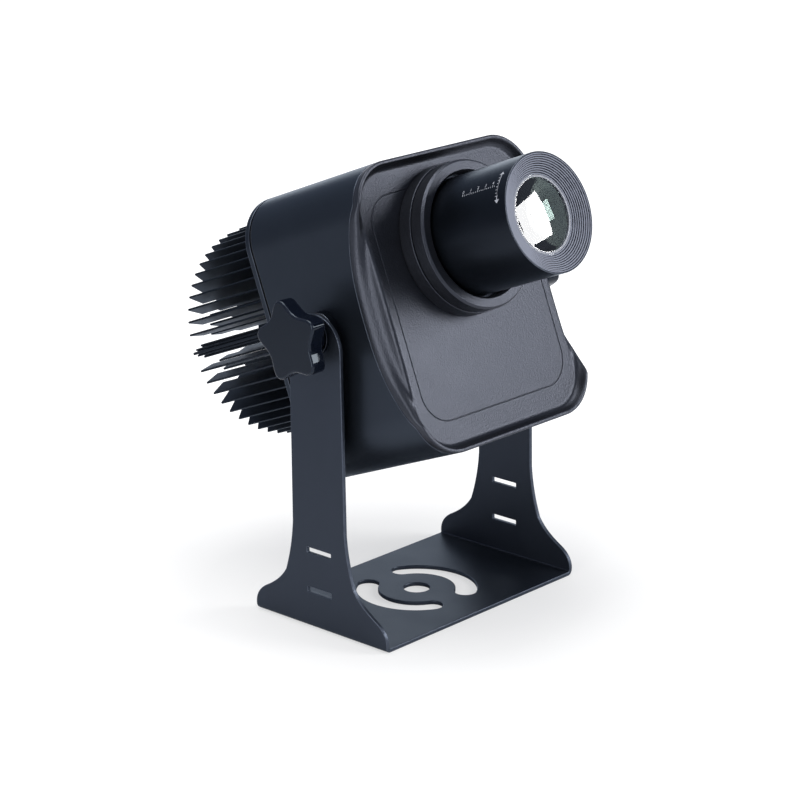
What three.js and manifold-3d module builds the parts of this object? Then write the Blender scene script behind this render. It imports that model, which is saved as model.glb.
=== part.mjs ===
// A gobo projector on a folded yoke: a tilting head with an LED, a gobo and a lens that turns to focus.
// Millimetres, +Z up, the lens points to -Y. The origin is under the middle of the whole object.
// Inside the head, places are given as x, up (across the lens axis) and front (along it), from the tilt axis.
import * as THREE from "three";
import { mergeVertices } from "three/addons/utils/BufferGeometryUtils.js";
import Module from "manifold-3d";

const wasm = await Module();
wasm.setup();

// Fits that many pieces share
const gap = 0.3; // between pieces that touch
const overrun = 1; // how far a cut runs past the wall it goes through
const weld = 0.01; // vertices closer than this are one

// Yoke
const yokeSheet = 2.5;
const yokeBend = 3.5; // outer radius of the folds
const uprightWidth = 41.4;
const uprightOver = 12.2; // of the uprights past the tilt axis
const footDepth = 108.4; // over the lobes
const footRise = 65; // height at which the foot has run into the upright
const boltHole = 16.5; // diameter
const arcSlotRadius = 30.7; // to the middle of the slot
const arcSlotWidth = 13.4;
const arcSlotDegrees = 120;
const strapSlotLength = 19.5;
const strapSlotHeight = 3.3;
const strapSlotLow = 24.3;
const strapSlotHigh = 49.3;

// Tilt axis and its knobs
const pivotHeight = 183.5;
const tiltDegrees = 21.3;
const studDiameter = 7.8;
const studClearance = 0.6; // on the diameter of the yoke's hole and of the boss's bore
const studRun = 34; // from inside the boss to inside the grip
const studDepth = 13; // of that, inside the grip
const knobDiameter = 49;
const knobValley = 36; // diameter over the hollows between the lobes
const knobHead = 11;
const knobHub = 8.9;
const knobHubDiameter = 22;
const knobBevel = 1.3;
const knobLobes = 5;
const nearKnobDegrees = 163;
const farKnobDegrees = -19.5;
const knobWasherDiameter = 24;
const knobWasherThickness = 1.5;
const frictionWasherThickness = 1;
const bossDiameter = 24;
const bossFlange = 5.4; // thickness outside the sleeve
const bossNeckDiameter = 15;
const bossNeckReach = 6.5; // past the inner face of the sleeve's wall
const pivotNutWidth = 19; // across flats
const pivotNutThickness = 5;

// Head shell
const headWidth = 150.4;
const headHeight = 172.8;
const headCorner = 29.4; // radius of the corners of the section
const headDrop = 1.7; // the section's middle lies this far below the tilt axis
const sleeveWall = 2.5;
const creaseFront = 49.2; // the seam of sleeve and cover at the corners
const bowDepth = 16.3; // how far that seam draws back at the middle of each side
const bowReach = 66; // half length of the drawn back stretch
const bowPower = 2.6;
const panelFront = 47.6;
const coverWall = 3;
const coverSeat = 3; // width of the rim that meets the sleeve
const lipRise = 6; // of the lip over the panel
const lipWidth = 3.2;
const lipRound = 1.2;
const channelWidth = 2.8; // of the slope from the lip down to the panel
const scoopRim = 1; // what is left of the rim at the middle of each side
const scoopWidth = 6.6;
const grooveWidth = 0.7;
const grooveDepth = 0.7;
const grooveSideInset = 12.6;
const grooveEndInset = 18.9;
const grooveCorner = 19;
const rearReach = 48; // from the tilt axis to the rear face
const rearBand = 4.8;
const rearWall = 3;
const rearChamfer = 1.5;
const rearRim = 6;
const sealThickness = 1;
const sealInset = 0.9;
const sealWidth = 4;
const coverScrewInset = 13.5; // of the rear screws, from the sides of the section
const coverScrewPost = 5; // radius
const coverScrewPostLength = 18;
const screwDiameter = 4;
const screwHeadDiameter = 7.4;
const screwHeadHeight = 2.6;
const screwLength = 14;
const screwDrive = 2.5; // across the hexagon in the head
const screwDriveDepth = 1.4;

// Heatsink: rings of fins between four ribbed pillars, round a core post
const finTip = 66.4; // radius
const finRings = [[0, 11.4], [17.1, 25.4], [32.9, 41.4]]; // of each ring, from the outer tips inwards
const finThickness = 1.3;
const finsPerQuarter = 11;
const finPitchDegrees = 6.98;
const innerFinsPerQuarter = 5;
const finTurnDegrees = -1; // how far the rings and pillars are turned in the head
const finRear = 129.3; // from the tilt axis to the fins' rear ends
const pillarRibs = [[1.7, 0.5], [4.9, -2.3], [8.6, -7.2]]; // width over each pair, and reach past the fins
const pillarGroove = 0.9; // depth of the grooves between the ribs
const pillarRib = 1.1; // thickness
const corePost = 21; // diameter
const sinkBase = 6;
const sinkBaseBorder = 0.6; // of the base past the fins' tips
const pedestalDiameter = 42;
const pedestalRise = 8; // in front of the rear cover's rear face
const sinkScrewRadius = 50;
const sinkScrewLength = 8;

// Lens axis and its LED
const ledBoard = 24;
const ledBoardThickness = 1.6;
const ledBoardCorner = 2;
const ledDome = 14; // diameter
const ledDomeHeight = 2.2;
const ledDomeShares = [0.77, 0.7]; // of its radius and height, where the top starts to close
const ledHolderDiameter = 40;
const ledHolderHeight = 5;
const ledHolderMouth = 18;
const ledScrewRadius = 17;
const ledScrewDiameter = 2.5;
const ledScrewHeadDiameter = 4.6;
const ledScrewHeadHeight = 1.5;
const ledScrewLength = 4;

// Condenser
const tubeBore = 49;
const tubeWall = 3;
const tubeLength = 42;
const tubeFoot = 68; // diameter of its foot
const tubeFootThickness = 3;
const tubeStep = 2; // of the shoulder that the rear lens sits on
const tubeStepThickness = 2;
const leadWindow = 14;
const leadWindowDepth = 9;
const lensRim = 2.6; // flat width round each lens
const condenserEdge = 4;
const condenserBulge = 6;
const lensSpacing = 1.5; // between the bulges of the two lenses
const spacerWall = 2;
const ringThickness = 2;
const ringWall = 2.4;

// Gobo
const goboDiameter = 37;
const goboThickness = 1.1;
const goboAperture = 30;
const goboHolderDiameter = 45;
const goboHolderThickness = 4;
const gateDiameter = 62;
const gateFloor = 2.5;
const gateSkirt = 6;

// Focus drive and lens
const guideClearance = 0.8; // on the diameter, round the barrel
const guideWall = 2.4;
const guideRear = 12; // its rear end, from the tilt axis
const guideFlangeWidth = 7.8;
const guideFlangeThickness = 3;
const collarWall = 7; // past the guide
const collarMargin = 3.7; // from the collar up to the foot of the lip
const collarBaseHeight = 9.2;
const collarRingHeight = 9.2;
const collarChamfer = 1.1;
const collarStep = 0.7; // the base is this much larger in radius than the ring
const barrelDiameter = 70.8;
const barrelWall = 2.4;
const barrelRear = 20.5; // from the tilt axis
const barrelLength = 103.4;
const barrelEdge = 0.6; // wall left round the front ring
const frontRingThickness = 7;
const frontRingWidth = 10.8; // from the barrel's outside to the ring's bore
const frontRingSeat = 4;
const frontRingRim = 0.8; // flat width outside the cone
const frontRingDrop = 4.1; // depth of the cone
const frontLensEdge = 4;
const frontLensBulge = 3.4;
const frontLensBack = 1.6;
const frontLensSink = 4.6; // of the lens's rim behind the front face
const retainingRingWall = 1;
const retainingRingThickness = 1.2;
const cellTube = 29; // length
const cellWall = 3.2;
const cellFlange = 3;
const cellKey = 4;
const cellKeyReach = 2.2; // past the flange, into the guide's slot
const keySlotClearance = 0.6;
const keySlotLength = 16.6;
const rearLensEdge = 5;
const rearLensBulge = 4;

// Driver
const driverLength = 104;
const driverDepth = 56;
const driverHeight = 32;
const driverCorner = 4;
const driverMiddle = 2; // in front of the tilt axis
const driverSheet = 1.5;
const driverShelf = 13; // height of the shelf over the sleeve's floor
const shelfInset = 1.8; // of the shelf from where the sleeve's floor starts to curve
const shelfFoot = 12;
const leadDiameter = 2.4;
const leadSpread = 8; // between the two leads
const leadSetback = 18; // where they leave the driver, behind its middle
const leadLift = 17; // over the driver, where they turn back to the LED

// Cable gland
const glandInset = 18.1; // of its axis from the foot of the section
const glandMargin = 2.5; // from its hexagon up to the heatsink
const glandThread = 12;
const glandHex = 19;
const glandHexLength = 5.5;
const glandInside = 9; // thread that stands inside the rear cover
const glandCapDiameter = 18;
const glandCapLength = 15;
const glandCapRound = 3;
const glandMouth = 8;
const glandNutThickness = 3.6;
const glandSealWall = 1.2;

// How finely round shapes are divided
const fineSides = 40;
const roundSides = 32;
const innerSides = 24;
const smallSides = 20;
const screwSides = 12;
const cornerSteps = 6;
const sideSteps = 14;
const curveSteps = 4;

// Shares of the foot's spread beyond the upright, and of its rise, down its outline
const footShares = {
  toe: [1, 0.04],
  toeHandles: [[1.03, 0.14], [0.92, 0.22]],
  waist: [0.72, 0.275],
  waistHandles: [[0.46, 0.35], [0.32, 0.42]],
  neck: [0.22, 0.5],
  neckHandles: [[0.14, 0.62], [0.05, 0.78]],
  shoulder: [0.02, 1],
};
const lensShares = [0, 0.4, 0.75, 1]; // of a lens's radius, where its bulge is divided
const knobSharpShare = 0.12; // second harmonic of the knob's outline
const scoopShares = { bend: [0.65, 0.31], wallTop: [0.71, 0.85], crown: [0.73, 1] };

// What follows from the sizes above
const tilt = THREE.MathUtils.degToRad(tiltDegrees);
const barrelFront = barrelRear + barrelLength;
const guideBore = barrelDiameter + guideClearance;
const guideOuter = guideBore / 2 + guideWall;
const collarBore = guideBore + guideWall;
const collarDiameter = 2 * (guideOuter + collarWall);
const lensRise = headHeight / 2 - headDrop - lipWidth - channelWidth - collarMargin - collarDiameter / 2;
const glandDrop = headHeight / 2 + headDrop - glandInset;
const sinkRise = finTip + sinkBaseBorder + glandMargin + glandHex / 2 - glandDrop;
const finRoot = finTip - finRings[0][1];
const pillarTip = finTip + pillarRibs[0][1];
const frontReach = barrelFront * Math.cos(tilt) + (barrelDiameter / 2 - lensRise) * Math.sin(tilt);
const backReach = finRear * Math.cos(tilt) + (sinkRise + pillarTip) * Math.sin(tilt);
const yokeY = (frontReach - backReach) / 2;
const yokeWidth = headWidth + 2 * (3 * gap + bossFlange + frictionWasherThickness + yokeSheet);
const yokeInner = yokeWidth / 2 - yokeSheet;
const uprightTop = pivotHeight + uprightOver;
const sleeveSide = headWidth / 2;
const sleeveInnerSide = sleeveSide - sleeveWall;
const rearCoverFront = -rearReach + rearBand;
const rearPlateFront = -rearReach + rearWall;
const sealFront = rearCoverFront + gap + sealThickness;
const sleeveRear = sealFront + gap;
const sleeveFloor = -headDrop - headHeight / 2 + sleeveWall;
const pedestalFront = -rearReach + pedestalRise;
const panelBack = panelFront - coverWall;
const tubeRear = rearPlateFront + gap;
const tubeFront = tubeRear + tubeLength;
const gateFront = tubeFront + gap + gateFloor;
const collarBaseFront = panelFront + gap + collarBaseHeight;
const barrelInner = barrelDiameter / 2 - barrelWall;
const cellOuter = barrelInner - gap;
const cellInner = cellOuter - cellWall;
const cellRear = barrelRear - gap - cellFlange;
const stud = studDiameter / 2;
const bore = (studDiameter + studClearance) / 2;

// Finishes
const finish = (color, roughness, metalness) =>
  () => new THREE.MeshStandardMaterial({ color, roughness, metalness });
const satinCoat = finish(0x2b3038, 0.5, 0.2);
const texturedCoat = finish(0x34383f, 0.75, 0.1);
const anodised = finish(0x15171b, 0.4, 0.6);
const blackPlastic = finish(0x101114, 0.25, 0);
const mattPlastic = finish(0x1c1e20, 0.7, 0);
const rubber = finish(0x141414, 0.9, 0);
const steel = finish(0x9a9da1, 0.35, 1);
const aluminium = finish(0xb6b9bd, 0.4, 1);
const ceramicBoard = finish(0xe6e4dc, 0.6, 0);
const phosphor = finish(0xe9c63c, 0.5, 0);
const glass = () =>
  new THREE.MeshStandardMaterial({ color: 0xcfdde0, roughness: 0.05, transparent: true, opacity: 0.4 });
const redSilicone = finish(0x9b1c16, 0.6, 0);
const darkSilicone = finish(0x17181a, 0.6, 0);

// The closed solid of a three.js geometry, with shared corners merged and empty faces left out.
function solidOf(geometry) {
  const flat = geometry.index ? geometry.toNonIndexed() : geometry;
  const bare = new THREE.BufferGeometry().setAttribute("position", flat.getAttribute("position"));
  const merged = mergeVertices(bare, weld);
  const corners = merged.index.array;
  const kept = [];
  for (let i = 0; i < corners.length; i += 3) {
    const [a, b, c] = corners.slice(i, i + 3);
    if (a !== b && b !== c && c !== a) kept.push(a, b, c);
  }
  const vertProperties = merged.attributes.position.array;
  return new wasm.Manifold(new wasm.Mesh({ numProp: 3, vertProperties, triVerts: new Uint32Array(kept) }));
}

function named(name, solid, material) {
  const made = solid.getMesh();
  const indexed = new THREE.BufferGeometry()
    .setAttribute("position", new THREE.BufferAttribute(new Float32Array(made.vertProperties), made.numProp))
    .setIndex(new THREE.BufferAttribute(made.triVerts, 1));
  const geometry = indexed.toNonIndexed();
  geometry.computeVertexNormals();
  const mesh = new THREE.Mesh(geometry, material());
  mesh.name = name;
  return mesh;
}

// A turned piece from a closed profile of [radius, along] points, along +Y.
function turned(profile, sides) {
  const points = profile.map(([radius, along]) => new THREE.Vector2(radius, along));
  if (THREE.ShapeUtils.area(points) < 0) points.reverse();
  const first = points.findIndex((p, i) => p.x === 0 && points.at(i - 1).x === 0);
  if (first < 0) points.push(points[0].clone());
  else points.push(...points.splice(0, first));
  return new THREE.LatheGeometry(points, sides);
}

// Turned pieces that lie along the lens axis, and along the tilt axis towards one side.
const alongLens = (profile, sides, up = 0, x = 0) =>
  solidOf(turned(profile, sides).rotateZ(Math.PI).translate(x, 0, up));
const alongTilt = (profile, sides, side) => solidOf(turned(profile, sides).rotateZ((-side * Math.PI) / 2));

const ring = (inner, outer, from, to) => [[inner, from], [outer, from], [outer, to], [inner, to]];
const rod = (radius, from, to) => [[0, from], [radius, from], [radius, to], [0, to]];

// A flat shape in x and up, made thick from one front place to another.
function slab(shape, from, to) {
  const geometry = new THREE.ExtrudeGeometry(shape, {
    depth: to - from,
    bevelEnabled: false,
    curveSegments: cornerSteps / 2,
  });
  return solidOf(geometry.rotateX(Math.PI / 2).translate(0, -from, 0));
}

function roundedRectangle(width, height, corner, x = 0, up = 0) {
  const w = width / 2;
  const h = height / 2;
  const shape = new THREE.Shape();
  shape.absarc(x + w - corner, up + h - corner, corner, 0, Math.PI / 2);
  shape.absarc(x - w + corner, up + h - corner, corner, Math.PI / 2, Math.PI);
  shape.absarc(x - w + corner, up - h + corner, corner, Math.PI, 1.5 * Math.PI);
  shape.absarc(x + w - corner, up - h + corner, corner, 1.5 * Math.PI, 2 * Math.PI);
  return shape;
}

const section = (inset) =>
  roundedRectangle(headWidth - 2 * inset, headHeight - 2 * inset, headCorner - inset, 0, -headDrop);

function hexagon(acrossFlats, x = 0, up = 0) {
  const radius = acrossFlats / Math.sqrt(3);
  const corners = Array.from({ length: 6 }, (_, i) => {
    const angle = (i * Math.PI) / 3;
    return new THREE.Vector2(x + radius * Math.cos(angle), up + radius * Math.sin(angle));
  });
  return new THREE.Shape(corners);
}

// Yoke: the folded section, trimmed to the upright's outline, with its holes cut.
function yokeSection() {
  const w = yokeWidth / 2;
  const innerBend = yokeBend - yokeSheet;
  const shape = new THREE.Shape();
  shape.moveTo(-w, uprightTop);
  shape.absarc(-w + yokeBend, yokeBend, yokeBend, Math.PI, 1.5 * Math.PI);
  shape.absarc(w - yokeBend, yokeBend, yokeBend, 1.5 * Math.PI, 2 * Math.PI);
  shape.lineTo(w, uprightTop);
  shape.lineTo(yokeInner, uprightTop);
  shape.absarc(w - yokeBend, yokeBend, innerBend, 0, -Math.PI / 2, true);
  shape.absarc(-w + yokeBend, yokeBend, innerBend, -Math.PI / 2, -Math.PI, true);
  shape.lineTo(-yokeInner, uprightTop);
  return shape;
}

function footOutline() {
  const half = uprightWidth / 2;
  const spread = footDepth / 2 - half;
  const place = (side) => ([across, rise]) => [side * (half + spread * across), footRise * rise];
  const shape = new THREE.Shape();
  const right = place(1);
  const left = place(-1);
  const { toe, toeHandles, waist, waistHandles, neck, neckHandles, shoulder } = footShares;
  shape.moveTo(...right([1, 0]));
  shape.lineTo(...right(toe));
  shape.bezierCurveTo(...right(toeHandles[0]), ...right(toeHandles[1]), ...right(waist));
  shape.bezierCurveTo(...right(waistHandles[0]), ...right(waistHandles[1]), ...right(neck));
  shape.bezierCurveTo(...right(neckHandles[0]), ...right(neckHandles[1]), ...right(shoulder));
  shape.absarc(0, uprightTop - half, half, 0, Math.PI);
  shape.lineTo(...left(shoulder));
  shape.bezierCurveTo(...left(neckHandles[1]), ...left(neckHandles[0]), ...left(neck));
  shape.bezierCurveTo(...left(waistHandles[1]), ...left(waistHandles[0]), ...left(waist));
  shape.bezierCurveTo(...left(toeHandles[1]), ...left(toeHandles[0]), ...left(toe));
  shape.lineTo(...left([1, 0]));
  return shape;
}

function arcSlot(side) {
  const half = THREE.MathUtils.degToRad(arcSlotDegrees / 2);
  const start = side > 0 ? 0 : Math.PI;
  const end = arcSlotWidth / 2;
  const shape = new THREE.Shape();
  const cap = (angle) => [arcSlotRadius * Math.cos(angle), arcSlotRadius * Math.sin(angle)];
  shape.absarc(0, 0, arcSlotRadius + end, start - half, start + half);
  shape.absarc(...cap(start + half), end, start + half, start + half + Math.PI);
  shape.absarc(0, 0, arcSlotRadius - end, start + half, start - half, true);
  shape.absarc(...cap(start - half), end, start - half + Math.PI, start - half + 2 * Math.PI);
  return shape;
}

function yokeBracket() {
  const folded = new THREE.ExtrudeGeometry(yokeSection(), {
    depth: footDepth + 2 * overrun,
    bevelEnabled: false,
    curveSegments: curveSteps,
  });
  folded.rotateX(Math.PI / 2).translate(0, footDepth / 2 + overrun, 0);
  const outline = new THREE.ExtrudeGeometry(footOutline(), {
    depth: yokeWidth + 2 * overrun,
    bevelEnabled: false,
    curveSegments: curveSteps,
  });
  outline.rotateX(Math.PI / 2).rotateZ(Math.PI / 2).translate(-yokeWidth / 2 - overrun, 0, 0);
  let solid = solidOf(folded).intersect(solidOf(outline));
  const through = yokeSheet + 2 * overrun;
  const drill = (shape) => {
    const cutter = new THREE.ExtrudeGeometry(shape, {
      depth: through,
      bevelEnabled: false,
      curveSegments: 2 * curveSteps,
    });
    solid = solid.subtract(solidOf(cutter.translate(0, 0, -overrun)));
  };
  drill(new THREE.Shape().absarc(0, 0, boltHole / 2, 0, 2 * Math.PI));
  drill(arcSlot(1));
  drill(arcSlot(-1));
  for (const height of [strapSlotLow, strapSlotHigh]) {
    const slot = new THREE.BoxGeometry(yokeWidth + 2 * overrun, strapSlotLength, strapSlotHeight);
    solid = solid.subtract(solidOf(slot.translate(0, 0, height)));
  }
  const reach = yokeWidth / 2 + overrun;
  const pivotHole = new THREE.CylinderGeometry(bore, bore, 2 * reach, smallSides);
  solid = solid.subtract(solidOf(pivotHole.rotateZ(Math.PI / 2).translate(0, 0, pivotHeight)));
  return named("yoke_bracket", solid, satinCoat);
}

// Head shell: places round the section, with the direction straight out at each.
function outlinePlaces(steps) {
  const w = headWidth / 2 - headCorner;
  const h = headHeight / 2 - headCorner;
  const places = [];
  const corner = (x, up, quarter) => {
    for (let i = 0; i < cornerSteps; i++) {
      const angle = ((quarter + i / cornerSteps) * Math.PI) / 2;
      places.push({ x, up, outX: Math.cos(angle), outUp: Math.sin(angle) });
    }
  };
  const side = (x, sign) => {
    for (let i = 0; i < steps; i++)
      places.push({ x, up: sign * h * ((2 * i) / steps - 1), outX: Math.sign(x), outUp: 0 });
  };
  side(w, 1);
  corner(w, h, 0);
  places.push({ x: w, up: h, outX: 0, outUp: 1 });
  corner(-w, h, 1);
  side(-w, -1);
  corner(-w, -h, 2);
  places.push({ x: -w, up: -h, outX: 0, outUp: -1 });
  corner(w, -h, 3);
  return places;
}

// How much of the scoop there is at a height: all at the middle of a side, none at the ends.
function scoopShare({ up, outUp }) {
  const away = Math.abs(up + headCorner * outUp) / bowReach;
  return Math.max(0, 1 - away ** bowPower);
}

// A closed skin over rings round the section; a ring gives [inset, front] for each place.
function skin(rings, steps) {
  const places = outlinePlaces(steps);
  const rows = rings.map((ringAt) =>
    places.map((place) => {
      const [inset, front] = ringAt(place);
      const out = headCorner - inset;
      return [place.x + out * place.outX, -front, place.up + out * place.outUp - headDrop];
    }),
  );
  const middle = (row) => [0, row[0][1], -headDrop];
  const corners = [];
  const count = places.length;
  const last = rows.at(-1);
  for (let i = 0; i < count; i++) {
    const j = (i + 1) % count;
    for (let row = 0; row < rows.length - 1; row++) {
      const [a, b, c, d] = [rows[row][i], rows[row][j], rows[row + 1][j], rows[row + 1][i]];
      corners.push(a, b, c, a, c, d);
    }
    corners.push(last[i], last[j], middle(last));
    corners.push(rows[0][j], rows[0][i], middle(rows[0]));
  }
  const geometry = new THREE.BufferGeometry();
  geometry.setAttribute("position", new THREE.Float32BufferAttribute(corners.flat(), 3));
  return solidOf(geometry);
}

const seam = (place) => creaseFront - bowDepth * scoopShare(place);

function lipProfile() {
  const front = panelFront + lipRise;
  const diagonal = lipRound * (1 - Math.SQRT1_2);
  const slope = (t) => [lipWidth + channelWidth * t, front - lipRound - (lipRise - lipRound) * t];
  return [
    [0, front - lipRound],
    [diagonal, front - diagonal],
    [lipRound, front],
    [lipWidth - lipRound, front],
    [lipWidth - diagonal, front - diagonal],
    [lipWidth, front - lipRound],
    slope(1 / 3),
    slope(2 / 3),
    slope(1),
  ];
}

function scoopProfile() {
  const start = creaseFront - bowDepth + scoopRim;
  const rise = panelFront - start;
  const at = ([across, up]) => new THREE.Vector2(scoopWidth * across, start + rise * up);
  const { bend, wallTop, crown } = scoopShares;
  const cove = new THREE.QuadraticBezierCurve(at([0, 0]), at(bend), at(wallTop));
  const shoulder = new THREE.QuadraticBezierCurve(at(wallTop), at(crown), at([1, 1]));
  const points = [...cove.getPoints(5), ...shoulder.getPoints(3).slice(1)];
  return points.map((p) => [p.x, p.y]);
}

function coverRings() {
  const lip = lipProfile();
  const scoop = scoopProfile();
  const innerWidth = lipWidth + channelWidth;
  const mix = (a, b, share) => a + (b - a) * share;
  const frontRings = lip.map((lipPoint, i) => (place) => {
    const share = scoopShare(place);
    return [mix(lipPoint[0], scoop[i][0], share), mix(lipPoint[1], scoop[i][1], share)];
  });
  const backRings = [
    (place) => [mix(innerWidth, scoopWidth, scoopShare(place)) + coverWall, panelBack],
    (place) => [coverSeat, seam(place)],
    (place) => [0, seam(place)],
  ];
  return [...backRings, ...frontRings];
}

function frontCover() {
  let solid = skin(coverRings(), sideSteps);
  const width = headWidth - 2 * grooveSideInset;
  const height = headHeight - 2 * grooveEndInset;
  const groove = roundedRectangle(width, height, grooveCorner, 0, -headDrop);
  const inside = roundedRectangle(
    width - 2 * grooveWidth, height - 2 * grooveWidth, grooveCorner - grooveWidth, 0, -headDrop);
  groove.holes.push(inside);
  solid = solid.subtract(slab(groove, panelFront - grooveDepth, panelFront + overrun));
  const opening = rod(guideOuter + gap, panelBack - overrun, panelFront + overrun);
  solid = solid.subtract(alongLens(opening, fineSides, lensRise));
  return named("front_cover", solid, texturedCoat);
}

const coverScrewPlaces = () =>
  [[1, 1], [-1, 1], [-1, -1], [1, -1]].map(([across, up]) => [
    across * (headWidth / 2 - coverScrewInset),
    up * (headHeight / 2 - coverScrewInset) - headDrop,
  ]);

function housingSleeve() {
  const wall = (inset, front) => () => [inset, front];
  const edge = (inset) => (place) => [inset, seam(place) - gap];
  const outer = skin([wall(0, sleeveRear), edge(0), edge(sleeveWall + overrun)], sideSteps);
  const cut = (place) => [sleeveWall, seam(place) + overrun];
  const inner = skin([wall(sleeveWall, sleeveRear - overrun), cut], sideSteps);
  let solid = outer.subtract(inner);
  const shell = slab(section(0), sleeveRear, sleeveRear + coverScrewPostLength);
  for (const [x, up] of coverScrewPlaces()) {
    const pillar = rod(coverScrewPost, sleeveRear, sleeveRear + coverScrewPostLength);
    const thread = rod((screwDiameter + studClearance) / 2, sleeveRear - overrun, sleeveRear + screwLength);
    const post = alongLens(pillar, screwSides, up, x);
    const corner = new THREE.BoxGeometry(coverScrewInset, coverScrewPostLength, coverScrewPost);
    const web = solidOf(corner.translate(
      x + (Math.sign(x) * coverScrewInset) / 2, -sleeveRear - coverScrewPostLength / 2, up));
    solid = solid.add(post.add(web).intersect(shell)).subtract(alongLens(thread, screwSides, up, x));
  }
  for (const side of [1, -1]) {
    const hole = rod(bossNeckDiameter / 2 + gap, sleeveInnerSide - overrun, sleeveSide + overrun);
    solid = solid.subtract(alongTilt(hole, smallSides, side));
  }
  return named("housing_sleeve", solid, satinCoat);
}

function rearSeal() {
  const shape = section(sealInset);
  shape.holes.push(section(sealInset + sealWidth));
  return named("rear_seal", slab(shape, rearCoverFront + gap, sealFront), rubber);
}

// Rear cover: a tray with a chamfered rear edge, open for the heatsink's pedestal and the gland.
function rearCover() {
  let solid = skin([
    () => [rearChamfer, -rearReach],
    () => [0, -rearReach + rearChamfer],
    () => [0, rearCoverFront],
  ], 1);
  solid = solid.subtract(slab(section(rearRim), rearPlateFront, rearCoverFront + overrun));
  const hole = (radius, x, up, sides) =>
    alongLens(rod(radius, -rearReach - overrun, rearCoverFront + overrun), sides, up, x);
  solid = solid.subtract(hole(pedestalDiameter / 2 + gap, 0, lensRise, roundSides));
  solid = solid.subtract(hole(glandThread / 2 + gap, 0, -glandDrop, smallSides));
  for (const [x, up] of [...coverScrewPlaces(), ...sinkScrewPlaces()])
    solid = solid.subtract(hole((screwDiameter + studClearance) / 2, x, up, screwSides));
  return named("rear_cover", solid, satinCoat);
}

// A socket head screw on a face, with its shank pointing to the front (1) or to the rear (-1).
function screw(name, x, up, face, length, pointing) {
  const place = (depth) => face - pointing * (gap - depth);
  const head = screwHeadDiameter / 2;
  const bevel = screwDriveDepth / 2;
  const top = place(-screwHeadHeight);
  const end = place(length - gap);
  const profile = [[0, top], [head - bevel, top], [head, place(bevel - screwHeadHeight)], [head, place(0)],
    [screwDiameter / 2, place(0)], [screwDiameter / 2, end], [0, end]];
  const drive = [place(-screwHeadHeight - overrun), place(screwDriveDepth - screwHeadHeight)];
  const socket = slab(hexagon(screwDrive, x, up), Math.min(...drive), Math.max(...drive));
  return named(name, alongLens(profile, screwSides, up, x).subtract(socket), steel);
}

const rearCoverScrews = () =>
  coverScrewPlaces().map(([x, up], i) =>
    screw(`rear_cover_screw_${i + 1}`, x, up, -rearReach, screwLength, 1),
  );

// Heatsink: a round base with a pedestal for the LED, and rings of thin fins behind it.
const sinkScrewPlaces = () =>
  [0, 1, 2, 3].map((i) => {
    const angle = (i + 0.5) * (Math.PI / 2);
    return [sinkScrewRadius * Math.cos(angle), sinkRise + sinkScrewRadius * Math.sin(angle)];
  });

const sinkBaseRear = -rearReach - gap - sinkBase;

// A block across the radius at an angle, from one radius to another, as long as the fins.
function radialBlock(width, root, tip, degrees) {
  const length = finRear + sinkBaseRear + overrun;
  const block = new THREE.BoxGeometry(width, length, tip - root);
  block.translate(0, finRear - length / 2, (tip + root) / 2);
  return solidOf(block.rotateY(THREE.MathUtils.degToRad(degrees)).translate(0, 0, sinkRise));
}

// A pillar's stepped section: a rib down the middle and pairs of shorter ribs beside it.
function pillar(degrees) {
  const [middle, ...pairs] = pillarRibs;
  const half = [[middle[0] / 2, pillarTip]];
  for (const [width, reach] of pairs) {
    const inside = width / 2 - pillarRib;
    const tip = finTip + reach;
    const floor = tip - pillarGroove;
    half.push([half.at(-1)[0], floor], [inside, floor], [inside, tip], [width / 2, tip]);
  }
  half.push([half.at(-1)[0], finRoot]);
  const outline = [...half, ...half.map(([across, radius]) => [-across, radius]).reverse()];
  const angle = THREE.MathUtils.degToRad(degrees);
  const turnedPoint = ([across, radius]) =>
    new THREE.Vector2(
      radius * Math.sin(angle) + across * Math.cos(angle),
      radius * Math.cos(angle) - across * Math.sin(angle) + sinkRise,
    );
  return slab(new THREE.Shape(outline.map(turnedPoint)), -finRear, sinkBaseRear + overrun);
}

function heatsink() {
  const base = rod(finTip + sinkBaseBorder, sinkBaseRear, -rearReach - gap);
  let solid = alongLens(base, fineSides, sinkRise);
  const pedestal = rod(pedestalDiameter / 2, -rearReach - gap - sinkBase / 2, pedestalFront);
  solid = solid.add(alongLens(pedestal, roundSides, lensRise));
  solid = solid.add(alongLens(rod(corePost / 2, -finRear, sinkBaseRear + overrun), smallSides, sinkRise));
  const quarter = 90;
  const first = (quarter - (finsPerQuarter - 1) * finPitchDegrees) / 2;
  const innerFirst = first + finPitchDegrees / 2;
  const innerPitch = (quarter - 2 * innerFirst) / (innerFinsPerQuarter - 1);
  const [outerRing, middleRing, innerRing] = finRings;
  const fin = ([start, end], degrees) => radialBlock(finThickness, finTip - end, finTip - start, degrees);
  for (let start = finTurnDegrees; start < 4 * quarter + finTurnDegrees; start += quarter) {
    solid = solid.add(pillar(start));
    for (let i = 0; i < finsPerQuarter; i++) {
      const angle = start + first + i * finPitchDegrees;
      solid = solid.add(fin(outerRing, angle)).add(fin(middleRing, angle));
    }
    for (let i = 0; i < innerFinsPerQuarter; i++)
      solid = solid.add(fin(innerRing, start + innerFirst + i * innerPitch));
  }
  const thread = rearPlateFront - sinkScrewLength - gap;
  const hole = rod((screwDiameter + studClearance) / 2, thread, pedestalFront);
  for (const [x, up] of sinkScrewPlaces())
    solid = solid.subtract(alongLens(hole, screwSides, up, x));
  return named("heatsink", solid, anodised);
}

const sinkScrews = () =>
  sinkScrewPlaces().map(([x, up], i) =>
    screw(`heatsink_screw_${i + 1}`, x, up, rearPlateFront, sinkScrewLength, -1),
  );

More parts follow.
